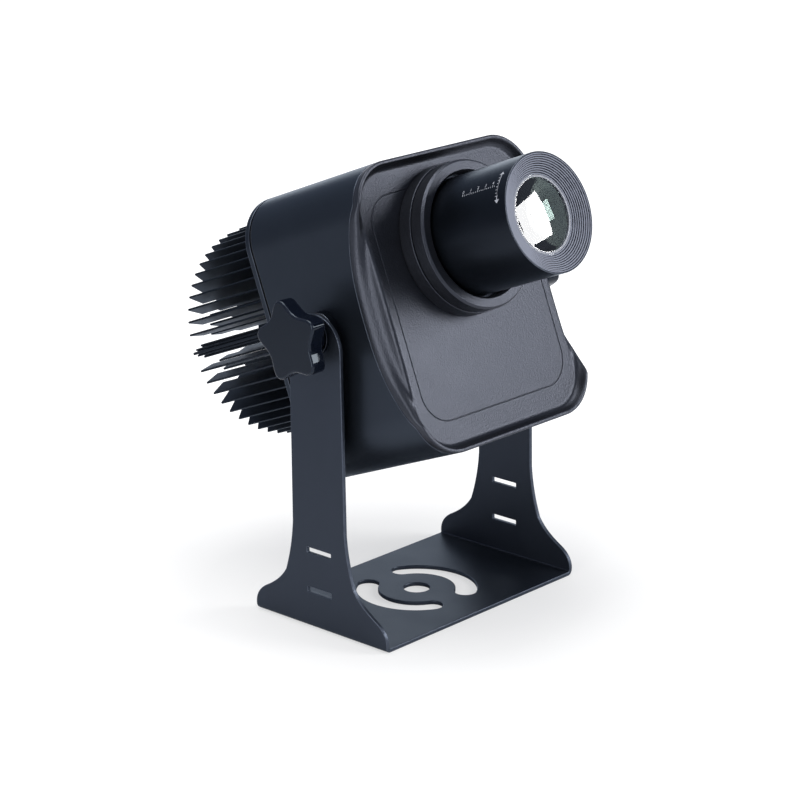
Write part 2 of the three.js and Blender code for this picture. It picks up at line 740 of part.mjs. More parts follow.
// LED on the pedestal: board, dome, and a holder with two screws.
function ledParts() {
  const boardRear = pedestalFront + gap;
  const boardFront = boardRear + ledBoardThickness;
  const boardShape = roundedRectangle(ledBoard, ledBoard, ledBoardCorner, 0, lensRise);
  const board = slab(boardShape, boardRear, boardFront);
  const domeRear = boardFront + gap;
  const [domeOut, domeUp] = ledDomeShares;
  const dome = alongLens(
    [[0, domeRear], [ledDome / 2, domeRear], [(domeOut * ledDome) / 2, domeRear + domeUp * ledDomeHeight],
      [0, domeRear + ledDomeHeight]],
    smallSides, lensRise);
  const holderFront = boardRear + ledHolderHeight;
  let holder = alongLens(
    [[ledHolderMouth / 2, boardRear], [ledHolderDiameter / 2, boardRear],
      [ledHolderDiameter / 2, holderFront - screwHeadHeight / 2],
      [ledHolderDiameter / 2 - screwHeadHeight / 2, holderFront], [ledHolderMouth / 2, holderFront]],
    innerSides, lensRise);
  const pocket = roundedRectangle(ledBoard + 2 * gap, ledBoard + 2 * gap, ledBoardCorner + gap, 0, lensRise);
  holder = holder.subtract(slab(pocket, boardRear - overrun, boardFront + gap));
  const parts = [
    named("led_board", board, ceramicBoard),
    named("led_emitter", dome, phosphor),
  ];
  [1, -1].forEach((side, i) => {
    const x = side * ledScrewRadius;
    const hole = rod(ledScrewDiameter / 2 + gap, boardRear - overrun, holderFront + overrun);
    holder = holder.subtract(alongLens(hole, screwSides, lensRise, x));
    const head = ledScrewHeadDiameter / 2;
    const shank = ledScrewDiameter / 2;
    const top = holderFront + gap;
    const profile = [[0, top - ledScrewLength], [shank, top - ledScrewLength], [shank, top], [head, top],
      [head, top + ledScrewHeadHeight], [0, top + ledScrewHeadHeight]];
    parts.push(named(`led_holder_screw_${i + 1}`, alongLens(profile, screwSides, lensRise, x), steel));
  });
  return [...parts, named("led_holder", holder, mattPlastic)];
}

// A round lens: a flat rim from one place to another, with a bulge at the rear and at the front.
function lensSolid(radius, from, to, rearBulge, frontBulge, sides) {
  const clear = radius - lensRim;
  const arch = (base, bulge) =>
    (bulge ? lensShares : [0]).map((t) => [clear * t, base + bulge * (1 - t * t)]);
  const rim = [[radius, from], [radius, to]];
  return alongLens([...arch(from, -rearBulge), ...rim, ...arch(to, frontBulge).reverse()], sides, lensRise);
}

// Condenser: a footed tube on the rear cover, with two lenses, a spacer and a ring.
function condenserParts() {
  const inner = tubeBore / 2;
  const outer = inner + tubeWall;
  const seat = pedestalFront + ledHolderHeight + ledScrewHeadHeight + 2 * overrun;
  const seatTop = seat + tubeStepThickness;
  let tube = alongLens(
    [[inner, tubeRear], [tubeFoot / 2, tubeRear], [tubeFoot / 2, tubeRear + tubeFootThickness],
      [outer, tubeRear + tubeFootThickness], [outer, tubeFront], [inner, tubeFront],
      [inner, seatTop], [inner - tubeStep, seatTop], [inner - tubeStep, seat], [inner, seat]],
    innerSides, lensRise);
  const window = new THREE.BoxGeometry(leadWindow, leadWindowDepth + overrun, tubeFoot / 2);
  tube = tube.subtract(solidOf(window.translate(
    0, -tubeRear - (leadWindowDepth - overrun) / 2, lensRise - tubeFoot / 4 - inner / 2)));
  const radius = inner - gap;
  const rearLensTop = seatTop + gap + condenserEdge;
  const spacerTop = rearLensTop + gap + 2 * condenserBulge + lensSpacing;
  const frontLensRear = spacerTop + gap;
  const frontLensTop = frontLensRear + condenserEdge;
  const ringRear = frontLensTop + gap;
  const rearLens = lensSolid(radius, seatTop + gap, rearLensTop, 0, condenserBulge, innerSides);
  const frontLens = lensSolid(radius, frontLensRear, frontLensTop, condenserBulge, 0, innerSides);
  const spacer = ring(radius - spacerWall, radius, rearLensTop + gap, spacerTop);
  const keeper = ring(radius - ringWall, radius, ringRear, ringRear + ringThickness);
  return [
    named("condenser_tube", tube, aluminium),
    named("condenser_lens_rear", rearLens, glass),
    named("condenser_spacer", alongLens(spacer, smallSides, lensRise), aluminium),
    named("condenser_lens_front", frontLens, glass),
    named("condenser_ring", alongLens(keeper, smallSides, lensRise), anodised),
  ];
}

// Gobo: a gate on the tube's front end, and a holder that turns in it with the glass and its ring.
function goboParts() {
  const holder = goboHolderDiameter / 2;
  const floorRear = tubeFront + gap;
  const gateTop = gateFront + goboHolderThickness;
  const gate = alongLens(
    [[goboAperture / 2 + gap, floorRear], [tubeBore / 2 + tubeWall + gap, floorRear],
      [tubeBore / 2 + tubeWall + gap, floorRear - gateSkirt], [gateDiameter / 2, floorRear - gateSkirt],
      [gateDiameter / 2, gateTop], [holder + gap, gateTop], [holder + gap, gateFront],
      [goboAperture / 2 + gap, gateFront]],
    innerSides, lensRise);
  const holderRear = gateFront + gap;
  const seat = holderRear + goboThickness;
  const glassFront = seat + gap + goboThickness;
  const pocket = goboDiameter / 2 + gap;
  const cup = alongLens(
    [[goboAperture / 2, holderRear], [holder, holderRear], [holder, holderRear + goboHolderThickness],
      [pocket, holderRear + goboHolderThickness], [pocket, seat], [goboAperture / 2, seat]],
    innerSides, lensRise);
  const pane = rod(goboDiameter / 2, seat + gap, glassFront);
  const keeper = ring(goboAperture / 2, goboDiameter / 2, glassFront + gap, glassFront + gap + goboThickness);
  return [
    named("gobo_gate", gate, anodised),
    named("gobo_holder", cup, aluminium),
    named("gobo_glass", alongLens(pane, innerSides, lensRise), glass),
    named("gobo_ring", alongLens(keeper, smallSides, lensRise), steel),
  ];
}

// Collar on the panel, and behind it the tube that guides the lens.
function collarParts() {
  const outer = collarDiameter / 2;
  const mouth = guideOuter + gap;
  const base = alongLens(
    [[mouth, panelFront + gap], [outer, panelFront + gap], [outer, collarBaseFront - collarChamfer],
      [outer - collarChamfer, collarBaseFront], [mouth, collarBaseFront]],
    fineSides, lensRise);
  const ringRear = collarBaseFront + gap;
  const ringFront = ringRear + collarRingHeight;
  const ringOuter = outer - collarStep;
  const front = alongLens(
    [[collarBore / 2, ringRear], [ringOuter, ringRear], [ringOuter, ringFront - collarChamfer],
      [ringOuter - collarChamfer, ringFront], [collarBore / 2 + collarChamfer, ringFront],
      [collarBore / 2, ringFront - collarChamfer]],
    fineSides, lensRise);
  const flangeFront = panelBack - gap;
  const flangeRear = flangeFront - guideFlangeThickness;
  const inner = guideBore / 2;
  const flange = guideOuter + guideFlangeWidth;
  let guide = alongLens(
    [[inner, guideRear], [guideOuter, guideRear], [guideOuter, flangeRear], [flange, flangeRear],
      [flange, flangeFront], [guideOuter, flangeFront], [guideOuter, collarBaseFront],
      [inner, collarBaseFront]],
    roundSides, lensRise);
  const slotWidth = cellKey + keySlotClearance;
  const slot = new THREE.BoxGeometry(slotWidth, keySlotLength + overrun, guideWall + 2 * overrun);
  slot.translate(0, -guideRear - (keySlotLength - overrun) / 2, lensRise + inner + guideWall / 2);
  guide = guide.subtract(solidOf(slot));
  return [
    named("collar_base", base, texturedCoat),
    named("collar_ring", front, texturedCoat),
    named("lens_guide", guide, anodised),
  ];
}

// Focus cell: slides without turning, its key in the guide's slot, and carries the rear lens.
function focusCellParts() {
  const flangeOuter = barrelDiameter / 2;
  const front = cellRear + cellFlange;
  const shelf = cellInner - ringWall;
  const lensRear = cellRear + 3 * gap + ringThickness;
  const lensTop = lensRear + rearLensEdge;
  const shoulder = lensTop + gap;
  let cell = alongLens(
    [[cellInner, cellRear], [flangeOuter, cellRear], [flangeOuter, front], [cellOuter, front],
      [cellOuter, front + cellTube], [cellInner, front + cellTube], [cellInner, shoulder + ringThickness],
      [shelf, shoulder + ringThickness], [shelf, shoulder], [cellInner, shoulder]],
    innerSides, lensRise);
  const keyHeight = cellKeyReach + ringWall;
  const key = new THREE.BoxGeometry(cellKey, cellFlange, keyHeight);
  key.translate(0, -cellRear - cellFlange / 2, lensRise + flangeOuter + cellKeyReach - keyHeight / 2);
  cell = cell.add(solidOf(key));
  const radius = cellInner - gap;
  return [
    named("focus_cell", cell, anodised),
    named("rear_lens", lensSolid(radius, lensRear, lensTop, 0, rearLensBulge, innerSides), glass),
    named("rear_lens_ring", alongLens(
      ring(radius - ringWall, radius, cellRear + gap, cellRear + gap + ringThickness),
      smallSides, lensRise), anodised),
  ];
}

// Lens barrel with its coned front ring, front lens and the thin ring that keeps it in.
function lensBarrelParts() {
  const outer = barrelDiameter / 2;
  const ringOuter = outer - barrelEdge - gap;
  const faceRear = barrelFront - frontRingThickness;
  const barrel = alongLens(
    [[barrelInner, barrelRear], [outer, barrelRear], [outer, barrelFront], [outer - barrelEdge, barrelFront],
      [outer - barrelEdge, faceRear - gap], [barrelInner, faceRear - gap]],
    fineSides, lensRise);
  const lensTop = barrelFront - frontLensSink;
  const lensRear = lensTop - frontLensEdge;
  const seatFront = lensRear - gap;
  const inner = outer - frontRingWidth;
  const seatRear = seatFront - frontRingSeat;
  const skirt = barrelInner - gap;
  const face = alongLens(
    [[inner, barrelFront - frontRingDrop], [ringOuter - frontRingRim, barrelFront],
      [ringOuter, barrelFront], [ringOuter, faceRear], [skirt, faceRear], [skirt, seatRear],
      [inner - ringWall, seatRear], [inner - ringWall, seatFront], [inner, seatFront]],
    roundSides, lensRise);
  const radius = inner - gap;
  return [
    named("lens_barrel", barrel, anodised),
    named("lens_front_ring", face, anodised),
    named("front_lens",
      lensSolid(radius, lensRear, lensTop, frontLensBack, frontLensBulge, roundSides), glass),
    named("lens_retaining_ring", alongLens(
      ring(radius - retainingRingWall, radius, lensTop + gap, lensTop + gap + retainingRingThickness),
      roundSides, lensRise), aluminium),
  ];
}

// Driver on its shelf, and the two leads up to the LED.
const driverTop = sleeveFloor + gap + driverShelf + gap + driverHeight;

function driverParts() {
  const floor = sleeveFloor + gap;
  const shelf = floor + driverShelf;
  const rear = driverMiddle - driverDepth / 2;
  const front = driverMiddle + driverDepth / 2;
  const w = headWidth / 2 - headCorner - shelfInset;
  const foot = w - shelfFoot;
  const leg = w - driverSheet;
  const shape = new THREE.Shape([
    [-w, floor], [-foot, floor], [-foot, floor + driverSheet], [-leg, floor + driverSheet],
    [-leg, shelf - driverSheet], [leg, shelf - driverSheet], [leg, floor + driverSheet],
    [foot, floor + driverSheet], [foot, floor], [w, floor], [w, shelf], [-w, shelf],
  ].map(([x, up]) => new THREE.Vector2(x, up)));
  const middle = shelf + gap + driverHeight / 2;
  const body = roundedRectangle(driverLength, driverHeight, driverCorner, 0, middle);
  return [
    named("driver_bracket", slab(shape, rear, front), steel),
    named("led_driver", slab(body, rear, front), aluminium),
  ];
}

function ledLeads() {
  const holderBottom = lensRise - ledHolderDiameter / 2 - gap;
  const height = pedestalFront + gap + ledHolderHeight / 2;
  const start = driverMiddle - leadSetback;
  return [1, -1].map((side, i) => {
    const x = (side * leadSpread) / 2;
    const route = new THREE.CatmullRomCurve3([
      new THREE.Vector3(x, -start, driverTop + gap),
      new THREE.Vector3(x, -start, driverTop + leadLift / 2),
      new THREE.Vector3(x, -(start + height) / 2, driverTop + leadLift),
      new THREE.Vector3(x, -height, (driverTop + leadLift + holderBottom) / 2),
      new THREE.Vector3(x, -height, holderBottom),
    ]);
    const round = new THREE.Shape().absarc(0, 0, leadDiameter / 2, 0, 2 * Math.PI);
    const geometry = new THREE.ExtrudeGeometry(round, {
      steps: 3 * curveSteps, extrudePath: route, bevelEnabled: false, curveSegments: curveSteps,
    });
    return named(`led_lead_${i + 1}`, solidOf(geometry), i ? darkSilicone : redSilicone);
  });
}

// Cable gland in the rear cover: body, cap, seal and the lock nut inside.
function glandParts() {
  const up = -glandDrop;
  const mouth = glandMouth / 2;
  const thread = glandThread / 2;
  const hexFront = -rearReach - gap;
  const hexRear = hexFront - glandHexLength;
  const capFront = hexRear - gap;
  const capRear = capFront - glandCapLength;
  const cap = glandCapDiameter / 2;
  const spigot = capRear + glandCapRound + 2 * gap;
  const bodyBore = rod(mouth + glandSealWall + gap, spigot - overrun, rearPlateFront + glandInside + overrun);
  const body = slab(hexagon(glandHex, 0, up), hexRear, hexFront)
    .add(alongLens(rod(thread, spigot, rearPlateFront + glandInside), smallSides, up))
    .subtract(alongLens(bodyBore, smallSides, up));
  const capShoulder = capRear + glandCapRound;
  const shell = alongLens(
    [[thread + gap, capFront], [cap, capFront], [cap, capShoulder], [cap - glandCapRound, capRear],
      [mouth, capRear], [mouth, capShoulder], [thread + gap, capShoulder]],
    smallSides, up);
  const seal = alongLens(ring(mouth, mouth + glandSealWall, spigot, hexFront), smallSides, up);
  const nut = slab(hexagon(glandHex, 0, up), rearPlateFront + gap, rearPlateFront + gap + glandNutThickness)
    .subtract(alongLens(rod(thread + gap, rearPlateFront, rearPlateFront + glandInside), smallSides, up));
  return [
    named("gland_body", body, mattPlastic),
    named("gland_cap", shell, mattPlastic),
    named("gland_seal", seal, rubber),
    named("gland_lock_nut", nut, mattPlastic),
  ];
}

// Pivots, as they turn with the head: a boss and its nut in the sleeve's wall, and the friction washer.
function pivotParts(side, label) {
  const neckEnd = sleeveInnerSide - bossNeckReach;
  const face = yokeInner - gap - frictionWasherThickness - gap;
  const boss = alongTilt(
    [[bore, neckEnd], [bossNeckDiameter / 2, neckEnd], [bossNeckDiameter / 2, sleeveSide + gap],
      [bossDiameter / 2, sleeveSide + gap], [bossDiameter / 2, face], [bore, face]],
    innerSides, side);
  const nutTop = sleeveInnerSide - gap;
  const nutShape = new THREE.ExtrudeGeometry(hexagon(pivotNutWidth), {
    depth: pivotNutThickness, bevelEnabled: false,
  });
  nutShape.rotateY(Math.PI / 2).translate(side > 0 ? nutTop - pivotNutThickness : -nutTop, 0, 0);
  const nutBore = rod(bossNeckDiameter / 2 + gap, neckEnd - overrun, sleeveInnerSide + overrun);
  const nut = solidOf(nutShape).subtract(alongTilt(nutBore, smallSides, side));
  const washer = alongTilt(
    ring(bore, bossDiameter / 2, face + gap, face + gap + frictionWasherThickness), innerSides, side);
  return [
    named(`pivot_boss_${label}`, boss, anodised),
    named(`pivot_nut_${label}`, nut, steel),
    named(`friction_washer_${label}`, washer, rubber),
  ];
}

// Star knob: lobed grip with a hub, its stud, and the washer under it.
function knobOutline(phase) {
  const mean = (knobDiameter + knobValley) / 4 - knobBevel;
  const swing = (knobDiameter - knobValley) / 4;
  const count = 8 * knobLobes;
  const points = Array.from({ length: count }, (_, i) => {
    const angle = (i * 2 * Math.PI) / count;
    const wave = Math.cos(knobLobes * angle) + knobSharpShare * (Math.cos(2 * knobLobes * angle) - 1);
    const radius = mean + swing * wave;
    return new THREE.Vector2(radius * Math.cos(angle + phase), radius * Math.sin(angle + phase));
  });
  return new THREE.Shape(points);
}

function knobParts(side, label, degrees) {
  const washerRear = yokeWidth / 2 + gap;
  const hubRear = washerRear + knobWasherThickness + gap;
  const headRear = hubRear + knobHub;
  const faceFront = headRear + knobHead;
  const head = new THREE.ExtrudeGeometry(knobOutline(THREE.MathUtils.degToRad(degrees)), {
    depth: knobHead - 2 * knobBevel, bevelThickness: knobBevel, bevelSize: knobBevel, bevelSegments: 1,
  });
  head.rotateY(Math.PI / 2).translate(side > 0 ? headRear + knobBevel : -faceFront + knobBevel, 0, 0);
  const hub = alongTilt(rod(knobHubDiameter / 2, hubRear, headRear + knobHead / 2), smallSides, side);
  const pocketEnd = hubRear + studDepth + gap;
  const pocket = alongTilt(rod(stud + gap, hubRear - overrun, pocketEnd), screwSides, side);
  const grip = solidOf(head).add(hub).subtract(pocket);
  const studEnd = pocketEnd - gap;
  const washer = ring(bore, knobWasherDiameter / 2, washerRear, washerRear + knobWasherThickness);
  return [
    named(`knob_washer_${label}`, alongTilt(washer, smallSides, side), anodised),
    named(`knob_grip_${label}`, grip, blackPlastic),
    named(`knob_stud_${label}`, alongTilt(rod(stud, studEnd - studRun, studEnd), screwSides, side), steel),
  ];
}

const head = new THREE.Group();
head.position.set(0, yokeY, pivotHeight);
head.rotation.x = -tilt;
head.add(
  housingSleeve(), frontCover(), rearCover(), rearSeal(), heatsink(),
  ...rearCoverScrews(), ...sinkScrews(), ...ledParts(), ...condenserParts(), ...goboParts(),
  ...collarParts(), ...focusCellParts(), ...lensBarrelParts(), ...driverParts(), ...ledLeads(),
  ...glandParts(), ...pivotParts(-1, "left"), ...pivotParts(1, "right"),
);

const knobs = new THREE.Group();
knobs.position.set(0, yokeY, pivotHeight);
knobs.add(...knobParts(-1, "left", nearKnobDegrees), ...knobParts(1, "right", farKnobDegrees));

const yoke = yokeBracket();
yoke.position.y = yokeY;

const projector = new THREE.Group();
projector.add(yoke, head, knobs);

export default projector;
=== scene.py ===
"""A gobo projector: a head with a lens and a finned heatsink, held by star knobs in a folded yoke.

Sizes are millimetres in the frame of each sub-assembly, which a Seat turns into metres.
"""
import logging
import math
from collections.abc import Callable, Iterable, Sequence
from dataclasses import dataclass, field
from enum import Enum
from functools import cached_property

import bmesh
import bpy
from mathutils import Matrix, Vector
from mathutils.geometry import delaunay_2d_cdt


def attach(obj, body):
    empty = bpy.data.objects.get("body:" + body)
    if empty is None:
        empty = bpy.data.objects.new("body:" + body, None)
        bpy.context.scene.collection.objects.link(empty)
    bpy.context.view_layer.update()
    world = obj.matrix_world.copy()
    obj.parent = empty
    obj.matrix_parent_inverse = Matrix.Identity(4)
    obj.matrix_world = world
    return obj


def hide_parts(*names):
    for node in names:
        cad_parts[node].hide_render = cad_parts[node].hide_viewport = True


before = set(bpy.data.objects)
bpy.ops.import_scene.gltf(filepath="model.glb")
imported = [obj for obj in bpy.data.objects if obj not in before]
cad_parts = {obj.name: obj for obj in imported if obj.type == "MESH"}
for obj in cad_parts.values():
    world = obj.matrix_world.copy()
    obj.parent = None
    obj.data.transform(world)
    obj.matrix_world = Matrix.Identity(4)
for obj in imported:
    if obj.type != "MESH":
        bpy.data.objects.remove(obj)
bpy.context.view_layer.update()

Colour = tuple[float, float, float]
Flat = tuple[float, float]
Point = tuple[float, float, float]
Spot = tuple[float, float, float]
Outline = Callable[[float], list[Flat]]
Ring = Callable[[float, float], Flat]

MILLIMETRE = 0.001
PIVOT = (0.0, -15.284, 183.5)
TILT = math.radians(21.3)
LENS_RISE = 29.8
SINK_RISE = 9.0
SHARP_DEGREES = 32.0
ON_AXIS = 1e-6
SAME_PLACE = 1e-4
SLIVER = 1e-5

NUMBER = "NodeSocketFloat"
COLOUR = "NodeSocketColor"

log = logging.getLogger("projector")


class Seat(Enum):
    """The frames that sizes are written in."""

    YOKE = "x, depth and height from the middle of the yoke's foot"
    HEAD = "x, up and front from the tilt axis"
    LENS = "x, up and front from the lens axis"
    SINK = "x, up and front from the axis of the heatsink's rings"
    LEFT = "across, across and outwards along the tilt axis, on the left"
    RIGHT = "across, across and outwards along the tilt axis, on the right"

    @property
    def matrix(self) -> Matrix:
        """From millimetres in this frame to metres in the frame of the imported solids.

        Returns:
            The matrix.
        """
        scale = Matrix.Scale(MILLIMETRE, 4)
        if self is Seat.YOKE:
            return scale @ Matrix.Translation((0, PIVOT[1], 0))
        pivot = scale @ Matrix.Translation(PIVOT)
        if self is Seat.LEFT:
            return pivot @ Matrix.Rotation(-math.pi / 2, 4, "Y")
        if self is Seat.RIGHT:
            return pivot @ Matrix.Rotation(math.pi / 2, 4, "Y")
        rise = {Seat.HEAD: 0.0, Seat.LENS: LENS_RISE, Seat.SINK: SINK_RISE}[self]
        turn = Matrix.Rotation(math.pi / 2 - TILT, 4, "X")
        return pivot @ turn @ Matrix.Translation((0, rise, 0))


# Finishes


def from_screen(red: int, green: int, blue: int) -> Colour:
    """Turns a colour written in 0 to 255 screen steps into linear light.

    Args:
        red: red step.
        green: green step.
        blue: blue step.

    Returns:
        The linear colour.
    """

    def linear(step: int) -> float:
        """One channel in linear light."""
        share = step / 255
        return share / 12.92 if share <= 0.04045 else ((share + 0.055) / 1.055) ** 2.4

    return linear(red), linear(green), linear(blue)


class Wiring:
    """Adds nodes to one tree and joins them."""

    def __init__(self, tree: bpy.types.NodeTree) -> None:
        """Starts on an empty tree."""
        self.tree = tree
        tree.nodes.clear()

    def node(self, kind: str, inputs: dict | None = None, **settings: object) -> bpy.types.Node:
        """Adds one node.

        Args:
            kind: the node's type name.
            inputs: a value or an output socket for each named or numbered input.
            settings: attributes of the node.

        Returns:
            The node.
        """
        made = self.tree.nodes.new(kind)
        for key, value in settings.items():
            setattr(made, key, value)
        for key, value in (inputs or {}).items():
            if isinstance(value, bpy.types.NodeSocket):
                self.tree.links.new(value, made.inputs[key])
            else:
                made.inputs[key].default_value = value
        return made

    def math(self, operation: str, *values: object, clamp: bool = False) -> bpy.types.NodeSocket:
        """A Math node's result."""
        inputs = dict(enumerate(values))
        return self.node("ShaderNodeMath", inputs, operation=operation, use_clamp=clamp).outputs[0]

    def blend(self, share: object, one: object, other: object) -> bpy.types.NodeSocket:
        """A colour between two, by a share."""
        mixed = self.node("ShaderNodeMix", {0: share, 6: one, 7: other}, data_type="RGBA")
        return mixed.outputs[2]

    def noise(self, scale: object, detail: object) -> bpy.types.NodeSocket:
        """Noise over the piece's own coordinates."""
        place = {"Vector": self.node("ShaderNodeTexCoord").outputs["Object"]}
        return self.node("ShaderNodeTexNoise", {**place, "Scale": scale, "Detail": detail}).outputs["Fac"]

    def ramp(self, value: object, low: float, high: float, start: float, end: float) -> bpy.types.NodeSocket:
        """A value taken from the range low to high into the range start to end."""
        inputs = {"Value": value, 1: low, 2: high, 3: start, 4: end}
        return self.node("ShaderNodeMapRange", inputs).outputs[0]


class SurfaceGroup(Enum):
    """The effects that finishes share, each one shader group."""

    GRAIN = "surface_grain"
    WEAR = "edge_wear"
    TONE = "surface_tone"
    LATHE = "lathe_lines"

    def tree(self) -> bpy.types.NodeTree:
        """The group's tree, built the first time that it is asked for."""
        found = bpy.data.node_groups.get(self.value)
        return found or getattr(self, "_" + self.name.lower())()

    def _start(self, inputs: dict[str, tuple[str, object]], outputs: dict[str, str]) -> Wiring:
        """Makes the group's tree with its named sockets.

        Args:
            inputs: socket type and value for each input.
            outputs: socket type for each output.

        Returns:
            The wiring of the new tree.
        """
        tree = bpy.data.node_groups.new(self.value, "ShaderNodeTree")
        for label, (kind, value) in inputs.items():
            tree.interface.new_socket(label, in_out="INPUT", socket_type=kind).default_value = value
        for label, kind in outputs.items():
            tree.interface.new_socket(label, in_out="OUTPUT", socket_type=kind)
        return Wiring(tree)

    def _grain(self) -> bpy.types.NodeTree:
        """Fine grain as a height, and a broad mottle.

        Returns:
            The tree.
        """
        wiring = self._start(
            {"Grain Scale": (NUMBER, 2500.0), "Detail": (NUMBER, 2.0), "Mottle Scale": (NUMBER, 60.0)},
            {"Height": NUMBER, "Mottle": NUMBER},
        )
        given = wiring.node("NodeGroupInput").outputs
        fine = wiring.noise(given["Grain Scale"], given["Detail"])
        broad = wiring.noise(given["Mottle Scale"], 3.0)
        wiring.node("NodeGroupOutput", {"Height": fine, "Mottle": broad})
        return wiring.tree

    def _wear(self) -> bpy.types.NodeTree:
        """Where edges are painted lighter, for rubbing and as a painted highlight, and where the front ring's
        grooves are painted dark as shade, from the piece's own attribute.

        Returns:
            The tree.
        """
        wiring = self._start({"Amount": (NUMBER, 0.5), "Breakup Scale": (NUMBER, 300.0)}, {"Mask": NUMBER})
        given = wiring.node("NodeGroupInput").outputs
        worn_and_painted_light = wiring.node("ShaderNodeAttribute", attribute_name="wear").outputs["Fac"]
        share = wiring.ramp(wiring.noise(given["Breakup Scale"], 3.0), 0.3, 0.7, 0.55, 1.0)
        spread = wiring.math("MULTIPLY", worn_and_painted_light, share)
        wiring.node("NodeGroupOutput", {"Mask": wiring.math("MULTIPLY", spread, given["Amount"], clamp=True)})
        return wiring.tree

    def _tone(self) -> bpy.types.NodeTree:
        """Colour and roughness that vary with the mottle and with the edge mask for rubbing, painted
        highlights and painted groove shade.

        Returns:
            The tree.
        """
        wiring = self._start(
            {
                "Colour": (COLOUR, (0.1, 0.1, 0.1, 1)), "Edge Colour": (COLOUR, (0.3, 0.3, 0.3, 1)),
                "Roughness": (NUMBER, 0.5), "Mottle": (NUMBER, 0.5), "Colour Spread": (NUMBER, 0.1),
                "Roughness Spread": (NUMBER, 0.1), "Edge Polish": (NUMBER, -0.12), "Mask": (NUMBER, 0.0),
            },
            {"Colour": COLOUR, "Roughness": NUMBER},
        )
        given = wiring.node("NodeGroupInput").outputs
        swing = wiring.math("SUBTRACT", given["Mottle"], 0.5)
        level = wiring.math("MULTIPLY_ADD", swing, given["Colour Spread"], 1.0)
        shaded = wiring.node("ShaderNodeVectorMath", {0: given["Colour"], 3: level}, operation="SCALE")
        colour_out = wiring.blend(given["Mask"], shaded.outputs[0], given["Edge Colour"])
        rough = wiring.math("MULTIPLY_ADD", swing, given["Roughness Spread"], given["Roughness"])
        polished = wiring.math("MULTIPLY_ADD", given["Mask"], given["Edge Polish"], rough)
        wiring.node("NodeGroupOutput", {"Colour": colour_out, "Roughness": polished})
        return wiring.tree

    def _lathe(self) -> bpy.types.NodeTree:
        """Fine lines left by turning, along the piece's own profile.

        Returns:
            The tree.
        """
        wiring = self._start({"Lines": (NUMBER, 6.0), "Height": (NUMBER, 0.5)}, {"Height": NUMBER})
        given = wiring.node("NodeGroupInput").outputs
        along = wiring.node("ShaderNodeAttribute", attribute_name="profile").outputs["Fac"]
        lines = wiring.node(
            "ShaderNodeTexNoise",
            {"W": wiring.math("MULTIPLY", along, given["Lines"]), "Scale": 1.0, "Detail": 2.0},
            noise_dimensions="1D",
        )
        added = wiring.math("ADD", given["Height"], lines.outputs["Fac"])
        wiring.node("NodeGroupOutput", {"Height": added})
        return wiring.tree


